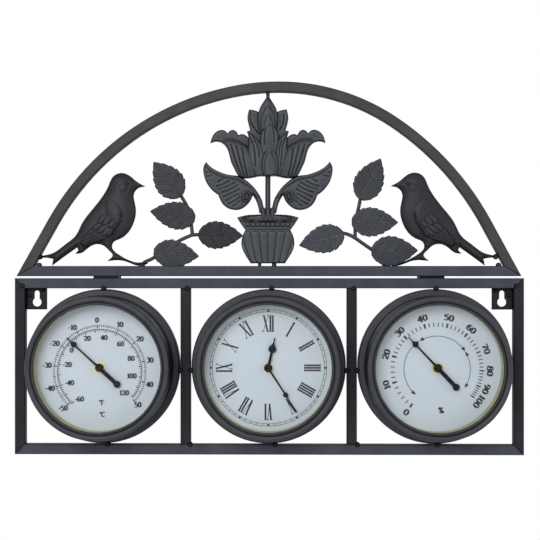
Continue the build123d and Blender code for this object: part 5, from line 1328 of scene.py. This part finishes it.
SCROLL_GROOVES = [[(44.3, 96.1), (48.5, 93.5)], [(38.3, 93.8), (43.2, 90.8), (49.6, 88.6)],
                  [(32.7, 92.3), (39.1, 89.0), (48.1, 86.0)], [(30.5, 89.3), (35.0, 86.3), (44.3, 83.0)],
                  [(28.6, 85.6), (35.0, 82.2), (43.2, 78.5)], [(30.1, 80.7), (35.0, 78.1), (40.6, 74.7)],
                  [(27.5, 78.5), (32.3, 74.3), (38.7, 71.3)], [(28.2, 74.0), (31.6, 71.0), (33.8, 69.8)],
                  [(56.3, 102.5), (60.5, 102.1)], [(55.6, 99.5), (59.3, 98.7)]]
SCROLL_SINK = 1.2
SCROLL_EDGE = (2.0, 2.4)
SCROLL_ROUND = (2.6, 12.0)
# The rib that follows the spine, a share of the rib rise, and the fold under it
SPINE_SHARE = 1.8
SPINE_WIDTH = 2.2
SPINE_FOLD = (-0.5, 1.0)
SPINE_FOLD_SHIFT = (0.8, -3.0)
SCROLL_GROOVE = (-0.55, 2.5)
# The curl in the eye: its rise, how far apart its turns are, and where it ends
CURL_RISE = 1.1
CURL_PITCH = 3.0
CURL_R = 6.3
CURL_FADE = (1.6, 0.8)


def scroll_front(points, edge):
    """Front of a scroll leaf: its rib, its curled eye and the grooves that fan out."""
    local = np.array([np.abs(points[:, 0] - ORNAMENT_X), points[:, 1]]).T
    depth = PLATE - SCROLL_SINK + swell(edge, *SCROLL_EDGE) + swell(edge, *SCROLL_ROUND)
    depth += groove(local, SCROLL_SPINE, setting("clock_reliefs", "rib_rise") * SPINE_SHARE, SPINE_WIDTH)
    depth += groove(local - SPINE_FOLD_SHIFT, SCROLL_SPINE[2:], *SPINE_FOLD)
    for line in SCROLL_GROOVES:
        depth += groove(local, line, *SCROLL_GROOVE)
    from_eye = local - SCROLL_EYE
    reach = np.hypot(*from_eye.T)
    turn = np.arctan2(from_eye[:, 1], from_eye[:, 0])
    curl = 0.5 + 0.5 * np.cos(2 * pi * (reach / CURL_PITCH - turn / (2 * pi)))
    return depth + CURL_RISE * curl * step_up(CURL_R - reach, CURL_FADE[0]) * step_up(reach, CURL_FADE[1])


def build_scrolls():
    """Two curled leaves, one each side of the flower's stem."""
    grid = setting("clock_reliefs", "grid")
    outline = closed_outline(SCROLL_RUNS, grid)
    return [relief(name, shape + (ORNAMENT_X, 0), grid, scroll_front, cast_back, flower_paint())
            for name, shape in (("scroll_leaf_left", swapped(outline)), ("scroll_leaf_right", outline))]


# Flower pot: half outline from the rim's top to the foot
POT_HALF = chained([(0, 61), (11, 60.8), (21, 60.2), (30.5, 57.8)], [(26.9, 52), (22.2, 45.5)], [(24.4, 41.2),
                   (25.8, 36.8), (26.2, 32.4), (25.2, 27), (23.3, 22.8), (19.8, 17), (16.9, 12.6)],
                   [(0, 12.6)])
POT_RIM_HALF = 29.0
POT_RIM_Z = 57.2
POT_RIM_RISE = 3.4
POT_NECK_Z = 46.8
POT_NECK_HALF = 22.0
POT_BEAD_Z = 51.0
POT_BEADS = 9
POT_BEAD_PITCH = 4.9
POT_FLUTES = 6
POT_FLUTE_TOP = 41.5
POT_FLUTE_FOOT = 14.0
POT_FLUTE_PITCH = 8.5
POT_FLUTE_FOOT_PITCH = 5.4
POT_SINK = 0.8
POT_EDGE = (2.4, 2.2)
# The pot's belly, as a rise and half the width of the round
POT_BELLY = (2.0, 33)
RIM_RIDGE = (1.0, 0.9)
RIM_HOLLOW = (1.6, 0.25)
NECK_RINGS = (-1.6, 0.6)
NECK_RING_WIDTH = 0.95
NECK_RING_REACH = 3
POT_BEAD = (1.1, 1.9)
# The flutes: a share of the rib rise, how their pitch changes upwards, and where they fade below the neck
FLUTE_SHARE = 1.9
FLUTE_POWER = 0.8
FLUTE_END = 2.6
FLUTE_FADE = 1.2


def pot_front(points, edge):
    """Front of the pot: rim, beads, neck rings and flutes."""
    rib = setting("clock_reliefs", "rib_rise")
    x, z = (points - (ORNAMENT_X, 0)).T
    belly, half = POT_BELLY
    depth = PLATE - POT_SINK + swell(edge, *POT_EDGE) + belly * np.sqrt(np.clip(1 - (x / half) ** 2, 0, 1))
    rim = np.hypot(x / POT_RIM_HALF, (z - POT_RIM_Z) / POT_RIM_RISE)
    depth += bead((rim - 1) * POT_RIM_RISE, *RIM_RIDGE) - RIM_HOLLOW[0] * step_up(1 - rim, RIM_HOLLOW[1])
    for ring in NECK_RINGS:
        across = np.abs(x) < POT_NECK_HALF + NECK_RING_REACH
        depth += bead(z - (POT_NECK_Z + ring), rib, NECK_RING_WIDTH) * across
    for number in range(POT_BEADS):
        away = np.hypot(x - POT_BEAD_PITCH * (number - (POT_BEADS - 1) / 2), z - POT_BEAD_Z)
        depth += swell(POT_BEAD[1] - away, *POT_BEAD)
    share = np.clip((z - POT_FLUTE_FOOT) / (POT_FLUTE_TOP - POT_FLUTE_FOOT), 0, 1)
    pitch = POT_FLUTE_FOOT_PITCH + (POT_FLUTE_PITCH - POT_FLUTE_FOOT_PITCH) * share ** FLUTE_POWER
    place = (x / pitch + POT_FLUTES / 2) % 1 - 0.5
    fluted = step_up(POT_NECK_Z - FLUTE_END - z, FLUTE_FADE)
    top = np.hypot(place * pitch, np.maximum(z - POT_FLUTE_TOP, 0)) / (pitch / 2)
    return depth + rib * FLUTE_SHARE * (np.sqrt(np.clip(1 - top ** 2, 0, 1)) - 0.5) * fluted


def build_pot():
    """Fluted pot that the flower stands in."""
    grid = setting("clock_reliefs", "grid")
    outline = closed_outline(both_halves(POT_HALF), grid)
    return relief("flower_pot_cast", outline + (ORNAMENT_X, 0), grid, pot_front, cast_back, flower_paint())


# Leaf sprays: each leaf by its base, its tip, its width and how light its paint is, each stem by its bends
LEFT_LEAVES = [((-86.2, 77.8), (-113.5, 112.6), 29.0, 0.90), ((-71.5, 56.5), (-117, 64.1), 27.0, 0.80),
               ((-70, 41), (-25.2, 39.8), 27.0, 0.50), ((-114.3, 24), (-68.5, 19.5), 27.5, 1.05)]
RIGHT_LEAVES = [((89.8, 74.7), (110.2, 115.7), 28.5, 1.15), ((80.7, 53.6), (127.4, 52.7), 28.5, 1.30),
                ((74.8, 41.6), (29.9, 30.1), 27.5, 1.45), ((100, 24.2), (146.8, 25.3), 29.5, 1.20)]
LEFT_STEMS = [[(-86.5, 79), (-80.8, 69), (-77, 55), (-75.3, 40.8)], [(-65, 41), (-75.3, 40.8)],
              [(-75.3, 40.8), (-87, 35.6), (-113.4, 18.2), (-122.6, 13.9)]]
RIGHT_STEMS = [[(91, 79), (88.3, 66), (85.5, 50), (85.2, 37.6)], [(69, 43), (78, 41.2), (85.2, 37.6)],
               [(85.2, 37.6), (100.3, 27), (120, 13.8)]]
LEAF_WIDEST = 0.4
LEAF_TIP = 1.0
LEAF_TEETH = 7
LEAF_TOOTH = 1.4
LEAF_FOOT = 0.10
# The leaf's edge: its points and ends, the curve of a tooth, how fast the teeth grow and fade, the least that
# is left of them at the tip, and the least half width
LEAF_POINTS = 96
LEAF_ENDS = (0.02, 0.995)
TOOTH_CURVE = 0.7
TEETH_GROW = 6
TEETH_FADE = 5
TEETH_LEFT = 0.15
LEAST_HALF = 0.35
FOOT_FADE = 12
# Veins: where each starts and to which side it runs, the share of the half width that it crosses, and how far
# up the leaf that width is taken
LEAF_VEINS = ((0.16, 1), (0.24, -1), (0.38, 1), (0.46, -1), (0.60, 1), (0.67, -1))
VEIN_SLOPE = 50
VEIN_CROSS = 0.82
VEIN_RISE = 0.12
STEM_R = 1.8
STEM_DEPTH = 4.8
# The pressed sheet: its thickness, the round of its back, the pillows between the veins and the ribs on them
LEAF_THICK = 0.75
LEAF_BACK_ROUND = (0.25, 1.0)
PILLOW = (0.675, 3.2)
PILLOW_EDGE = 1.4
LEAF_RIB_SHARE = 1.1
LEAF_RIB_WIDTH = 0.9
LEAF_RIB_FADE = 0.8


def leaf_half_width(share, width):
    """Half the leaf's width at a share of its length, rounded at the base and drawn out at the tip."""
    base_power = LEAF_TIP * LEAF_WIDEST / (1 - LEAF_WIDEST)
    peak = LEAF_WIDEST ** base_power * (1 - LEAF_WIDEST) ** LEAF_TIP
    return width / 2 * share ** base_power * (1 - share) ** LEAF_TIP / peak


def leaf_outline(length, width):
    """Toothed outline along the leaf's own X, anticlockwise."""
    shares = np.linspace(*LEAF_ENDS, LEAF_POINTS)
    teeth = LEAF_TOOTH * (((shares * LEAF_TEETH) % 1) ** TOOTH_CURVE - 0.5)
    teeth = teeth * np.clip(shares * TEETH_GROW, 0, 1)
    half = leaf_half_width(shares, width) + teeth * np.clip((1 - shares) * TEETH_FADE, TEETH_LEFT, 1)
    half = np.maximum(half, LEAST_HALF + LEAF_FOOT * width * np.clip(1 - shares * FOOT_FADE, 0, 1))
    lower = np.array([shares * length, -half]).T
    upper = np.array([shares * length, half]).T[::-1]
    return np.concatenate([lower, upper])


def leaf_veins(length, width):
    """Middle rib and slanting veins, along the leaf's own X."""
    veins = [[(0, 0), (length * 0.96, 0)]]
    for share, side in LEAF_VEINS:
        reach = VEIN_CROSS * leaf_half_width(share + VEIN_RISE, width)
        veins.append([(share * length, 0), (share * length + reach * 0.45, side * reach * 0.5),
                      (share * length + reach * 0.85 / tan(radians(VEIN_SLOPE)), side * reach)])
    return veins


def build_leaf(name, base, tip, width, tone):
    """Pressed leaf with a toothed edge, raised ribs and pillows between them."""
    rib = setting("clock_reliefs", "rib_rise")
    grid = setting("clock_reliefs", "leaf_grid")
    span = np.array(tip) - base
    length = hypot(*span)
    along = span / length
    across = np.array([-along[1], along[0]])

    def place(run):
        return run[:, :1] * along + run[:, 1:] * across + base

    veins = [place(smooth_run(vein, grid * 1.2)) for vein in leaf_veins(length, width)]

    def back(points, edge):
        return SHEET_BACK + LEAF_BACK_ROUND[0] * (1 - dome(edge, LEAF_BACK_ROUND[1]))

    def front(points, edge):
        near = np.min([distance_to(points, vein) for vein in veins], axis=0)
        pillow = swell(np.minimum(near, edge * PILLOW_EDGE), *PILLOW)
        raised = bead(near, rib * LEAF_RIB_SHARE, LEAF_RIB_WIDTH) * step_up(edge, LEAF_RIB_FADE)
        return SHEET_BACK + LEAF_THICK + pillow + raised

    # The veins get a painted highlight
    return relief(name, place(leaf_outline(length, width)), grid, front, back, leaf_paint(tone), veins,
                  pale_lines=True)


def build_leaves(side, leaves):
    """The leaves of one spray."""
    return [build_leaf(f"leaf_{side}_{number + 1}", *leaf) for number, leaf in enumerate(leaves)]


def build_stems(side, stems):
    """The rods that carry one spray."""
    pieces = []
    for number, bends in enumerate(stems):
        spine = [(x, STEM_DEPTH, SILL_Z + z) for x, z in smooth_run(bends, 1.5)]
        pieces.append(rod(f"stem_{side}_{number + 1}", spine, STEM_R, leaf_paint(), sides=16))
    return pieces


# Stage, in metres

FLOOR_REACH = 6.0
# The floor's white is full at the rim of the spot, and falls to what is left where the floor is this near to
# the middle of the spot, which is 1
FADE_NEAR = 0.6
FADE_LEFT = 0.6
KEY_PLACE = (-0.45, -1.55, 0.55)
KEY_TINT = (1.0, 0.99, 0.97)
SIDE_PLACE = (1.5, -0.9, 0.35)
SIDE_TINT = (0.96, 0.98, 1.0)
LAMP_SIZE = 0.9
SENSOR_WIDTH = 36.0


def seen_directly(tree):
    """1 for what the camera sees, also in a mirror or through glass, and 0 for the light on things."""
    path = tree.nodes.new("ShaderNodeLightPath")
    seen = path.outputs["Is Camera Ray"]
    for way in ("Is Glossy Ray", "Is Transmission Ray"):
        either = tree.nodes.new("ShaderNodeMath")
        either.operation = "MAXIMUM"
        tree.links.new(seen, either.inputs[0])
        tree.links.new(path.outputs[way], either.inputs[1])
        seen = either.outputs[0]
    return seen


def floor_paper(use):
    """Pale paper that keeps the shadow round its middle and is white to the camera farther out."""
    material, tree, shader = new_material("Floor")
    tint_shader(tree, shader, noise_from(tree, scale=3.0), use.floor_colour, 0.98, 1)
    shader.inputs["Roughness"].default_value = 0.9
    place = tree.nodes.new("ShaderNodeTexCoord")
    mapping = tree.nodes.new("ShaderNodeMapping")
    mapping.inputs["Scale"].default_value = (1 / use.floor_spot,) * 3
    nearness = tree.nodes.new("ShaderNodeTexGradient")
    nearness.gradient_type = "SPHERICAL"
    tree.links.new(place.outputs["Object"], mapping.inputs[0])
    tree.links.new(mapping.outputs[0], nearness.inputs[0])
    fade = tree.nodes.new("ShaderNodeMapRange")
    fade.inputs["From Max"].default_value = FADE_NEAR
    fade.inputs["To Min"].default_value = 1.0
    fade.inputs["To Max"].default_value = FADE_LEFT
    tree.links.new(nearness.outputs["Fac"], fade.inputs[0])
    share = tree.nodes.new("ShaderNodeMath")
    share.operation = "MULTIPLY"
    tree.links.new(fade.outputs[0], share.inputs[0])
    tree.links.new(seen_directly(tree), share.inputs[1])
    white = tree.nodes.new("ShaderNodeEmission")
    mix = tree.nodes.new("ShaderNodeMixShader")
    tree.links.new(share.outputs[0], mix.inputs[0])
    tree.links.new(shader.outputs[0], mix.inputs[1])
    tree.links.new(white.outputs[0], mix.inputs[2])
    output = next(node for node in tree.nodes if node.type == "OUTPUT_MATERIAL")
    tree.links.new(mix.outputs[0], output.inputs[0])
    return material


def lay_floor():
    """Floor under the hung part."""
    use = bpy.context.scene.clock_stage
    mesh = bpy.data.meshes.new("floor")
    corners = ((-1, -1), (1, -1), (1, 1), (-1, 1))
    mesh.from_pydata([(x * FLOOR_REACH, y * FLOOR_REACH, 0) for x, y in corners], [], [(0, 1, 2, 3)])
    mesh.materials.append(floor_paper(use))
    floor = bpy.data.objects.new("floor", mesh)
    floor.location.z = CAD_BOX[0].z - use.floor_drop
    bpy.context.scene.collection.objects.link(floor)


def light_room():
    """Even light from all round, white where it is seen or mirrored."""
    use = bpy.context.scene.clock_stage
    world = bpy.data.worlds.new("Room")
    bpy.context.scene.world = world
    world.use_nodes = True
    tree = world.node_tree
    tree.nodes.clear()
    output = tree.nodes.new("ShaderNodeOutputWorld")
    mix = tree.nodes.new("ShaderNodeMixShader")
    tree.links.new(seen_directly(tree), mix.inputs[0])
    for place, strength in ((1, use.room_light), (2, 1.0)):
        light = tree.nodes.new("ShaderNodeBackground")
        light.inputs["Color"].default_value = (1, 1, 1, 1)
        light.inputs["Strength"].default_value = strength
        tree.links.new(light.outputs[0], mix.inputs[place])
    tree.links.new(mix.outputs[0], output.inputs[0])


def hang_lamp(name, place, power, tint):
    """Soft square lamp that faces the middle of the object."""
    lamp = bpy.data.lights.new(name, "AREA")
    lamp.shape = "SQUARE"
    lamp.size = LAMP_SIZE
    lamp.energy = power
    lamp.color = tint
    holder = bpy.data.objects.new(name, lamp)
    holder.location = place
    aim = (CAD_BOX[0] + CAD_BOX[1]) / 2 - Vector(place)
    holder.rotation_euler = aim.to_track_quat("-Z", "Y").to_euler()
    bpy.context.scene.collection.objects.link(holder)


def hang_lamps():
    """Key lamp in front and a little above, and a weaker one at the side."""
    use = bpy.context.scene.clock_stage
    hang_lamp("Key lamp", KEY_PLACE, use.key_power, KEY_TINT)
    hang_lamp("Side lamp", SIDE_PLACE, use.fill_power, SIDE_TINT)


def stand_camera():
    """Camera at the photograph's place, level, and shifted to its frame."""
    use = bpy.context.scene.clock_stage
    camera = bpy.data.cameras.new("Camera")
    camera.lens = use.lens
    camera.sensor_width = SENSOR_WIDTH
    camera.shift_x = use.shift_x
    camera.shift_y = use.shift_y
    camera.clip_start = 0.01
    holder = bpy.data.objects.new("Camera", camera)
    holder.location = (use.camera_x, -use.camera_reach, use.camera_z)
    holder.rotation_euler = (pi / 2, 0, use.camera_turn)
    bpy.context.scene.collection.objects.link(holder)
    bpy.context.scene.camera = holder
    bpy.context.scene.view_settings.view_transform = "Standard"


# Operators, one for each piece or group of like pieces

def put_in_place(pieces, node):
    """The node of the arch that castings take the place of is hidden."""
    for piece in pieces:
        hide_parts(node)


class ClockPiece(bpy.types.Operator):
    """Base of the operators below."""
    bl_options = {"REGISTER", "UNDO"}


class DressFrame(ClockPiece):
    """Paint the welded frame, its keyhole plates and its hinges"""
    bl_idname = "wall_clock.dress_frame"
    bl_label = "Frame and hinges"

    def execute(self, context):
        dress(("frame_top_rail", "frame_bottom_rail"), frame_paint())
        dress(("frame_left_post", "frame_right_post", "frame_left_divider", "frame_right_divider",
               "keyhole_plate_left", "keyhole_plate_right", "frame_weld_beads"), post_paint())
        dress(("hinge_lower_leaves", "hinge_upper_leaves", "hinge_pins"), hinge_black())
        return {"FINISHED"}


class DressArch(ClockPiece):
    """Paint the bent tube, its sill and the weld beads on them"""
    bl_idname = "wall_clock.dress_arch"
    bl_label = "Arch"

    def execute(self, context):
        dress(("arch_tube",), arch_paint())
        dress(("arch_sill", "arch_weld_beads"), frame_paint())
        return {"FINISHED"}


class DressCases(ClockPiece):
    """Finish the three round cases with their glass and the card ring behind it"""
    bl_idname = "wall_clock.dress_cases"
    bl_label = "Cases"

    def execute(self, context):
        for case in CASES:
            dress((case + "_drum", case + "_back_plate", case + "_bezel"), case_paint())
            dress((case + "_glass",), dial_glass())
            dress((case + "_spacer_ring",), card_ring())
            dress((case + "_dial",), dial_white())
        dress(("back_plate_screws",), bright_steel())
        return {"FINISHED"}


class DressWorks(ClockPiece):
    """Finish the movement, the spiral springs and what carries them"""
    bl_idname = "wall_clock.dress_works"
    bl_label = "Works"

    def execute(self, context):
        dress(("movement_case", "movement_cover"),
              finish("Movement plastic", plastic, MOVEMENT_BLACK, 0.4, 0.12))
        dress(("motor_block",), finish("Motor plastic", plastic, MOTOR_CREAM, 0.38, 0.08))
        dress(("circuit_board",), finish("Circuit board", circuit_green))
        dress(("battery_cell",), finish("Cell jacket", plastic, CELL_BLUE, 0.32, 0.03))
        dress(("battery_contacts", "dial_brackets"), bright_steel())
        dress(("movement_nut", "dial_bushes"), polished_brass())
        dress(("spiral_springs",), spring_bronze())
        return {"FINISHED"}


class DressHands(ClockPiece):
    """Blacken the hands and pointers, and finish the setting knob"""
    bl_idname = "wall_clock.dress_hands"
    bl_label = "Hands and pointers"

    def execute(self, context):
        dress(("minute_hand", "hour_hand", "thermometer_pointer", "hygrometer_pointer"), hand_black())
        dress(("set_knob",), finish("Knob plastic", plastic, KNOB_BLACK, 0.36, 0.1))
        return {"FINISHED"}


class PrintClock(ClockPiece):
    """Print the minute track and the Roman numerals"""
    bl_idname = "wall_clock.print_clock"
    bl_label = "Clock dial"

    def execute(self, context):
        print_clock()
        return {"FINISHED"}


class PrintThermometer(ClockPiece):
    """Print the Celsius and Fahrenheit scales"""
    bl_idname = "wall_clock.print_thermometer"
    bl_label = "Thermometer dial"

    def execute(self, context):
        print_thermometer()
        return {"FINISHED"}


class PrintHygrometer(ClockPiece):
    """Print the humidity scale and its three zones"""
    bl_idname = "wall_clock.print_hygrometer"
    bl_label = "Hygrometer dial"

    def execute(self, context):
        print_hygrometer()
        return {"FINISHED"}


class CastBirds(ClockPiece):
    """Cast the two birds in relief"""
    bl_idname = "wall_clock.cast_birds"
    bl_label = "Birds"

    def execute(self, context):
        for name, side in (("bird_left", -1), ("bird_right", 1)):
            put_in_place([build_bird(name, side)], name)
        return {"FINISHED"}


class CastFlower(ClockPiece):
    """Cast the flower head, its stem and the scroll leaves"""
    bl_idname = "wall_clock.cast_flower"
    bl_label = "Flower and scrolls"

    def execute(self, context):
        put_in_place([build_flower()], "flower_head")
        put_in_place(build_flower_stem(), "flower_stem")
        put_in_place(build_scrolls(), "scroll_leaves")
        return {"FINISHED"}


class CastPot(ClockPiece):
    """Cast the fluted pot"""
    bl_idname = "wall_clock.cast_pot"
    bl_label = "Flower pot"

    def execute(self, context):
        put_in_place([build_pot()], "flower_pot")
        return {"FINISHED"}


class PressLeaves(ClockPiece):
    """Press the leaves and bend the stems of both sprays"""
    bl_idname = "wall_clock.press_leaves"
    bl_label = "Leaves and stems"

    def execute(self, context):
        for side, leaves, stems in (("left", LEFT_LEAVES, LEFT_STEMS), ("right", RIGHT_LEAVES, RIGHT_STEMS)):
            put_in_place(build_leaves(side, leaves), "leaves_" + side)
            put_in_place(build_stems(side, stems), "stems_" + side)
        return {"FINISHED"}


class SetStage(ClockPiece):
    """Lay the floor, light the room and stand the camera where the photograph was taken"""
    bl_idname = "wall_clock.set_stage"
    bl_label = "Stage"

    def execute(self, context):
        lay_floor()
        light_room()
        hang_lamps()
        stand_camera()
        return {"FINISHED"}


OPERATORS = (DressFrame, DressArch, DressCases, DressWorks, DressHands, PrintClock, PrintThermometer,
             PrintHygrometer, CastBirds, CastFlower, CastPot, PressLeaves, SetStage)
SETTINGS = {"clock_finish": FinishSettings, "clock_dials": DialSettings, "clock_reliefs": ReliefSettings,
            "clock_stage": StageSettings}


class ClockPanel(bpy.types.Panel):
    """Settings and pieces of the wall clock"""
    bl_idname = "VIEW3D_PT_wall_clock"
    bl_label = "Wall Clock"
    bl_space_type = "VIEW_3D"
    bl_region_type = "UI"
    bl_category = "Wall Clock"

    def draw(self, context):
        for name, group in SETTINGS.items():
            box = self.layout.box()
            for entry in group.__annotations__:
                box.prop(getattr(context.scene, name), entry)
        for operator in OPERATORS:
            self.layout.operator(operator.bl_idname)


CLASSES = (*SETTINGS.values(), *OPERATORS, ClockPanel)


def register():
    for group in CLASSES:
        bpy.utils.register_class(group)
    for name, group in SETTINGS.items():
        setattr(bpy.types.Scene, name, PointerProperty(type=group))


def unregister():
    for name in SETTINGS:
        delattr(bpy.types.Scene, name)
    for group in reversed(CLASSES):
        bpy.utils.unregister_class(group)


def main():
    """Build every piece in order."""
    register()
    bpy.ops.wall_clock.dress_frame()
    bpy.ops.wall_clock.dress_arch()
    bpy.ops.wall_clock.dress_cases()
    bpy.ops.wall_clock.dress_works()
    bpy.ops.wall_clock.dress_hands()
    bpy.ops.wall_clock.print_clock()
    bpy.ops.wall_clock.print_thermometer()
    bpy.ops.wall_clock.print_hygrometer()
    bpy.ops.wall_clock.cast_birds()
    bpy.ops.wall_clock.cast_flower()
    bpy.ops.wall_clock.cast_pot()
    bpy.ops.wall_clock.press_leaves()
    bpy.ops.wall_clock.set_stage()


if __name__ == "__main__":
    main()
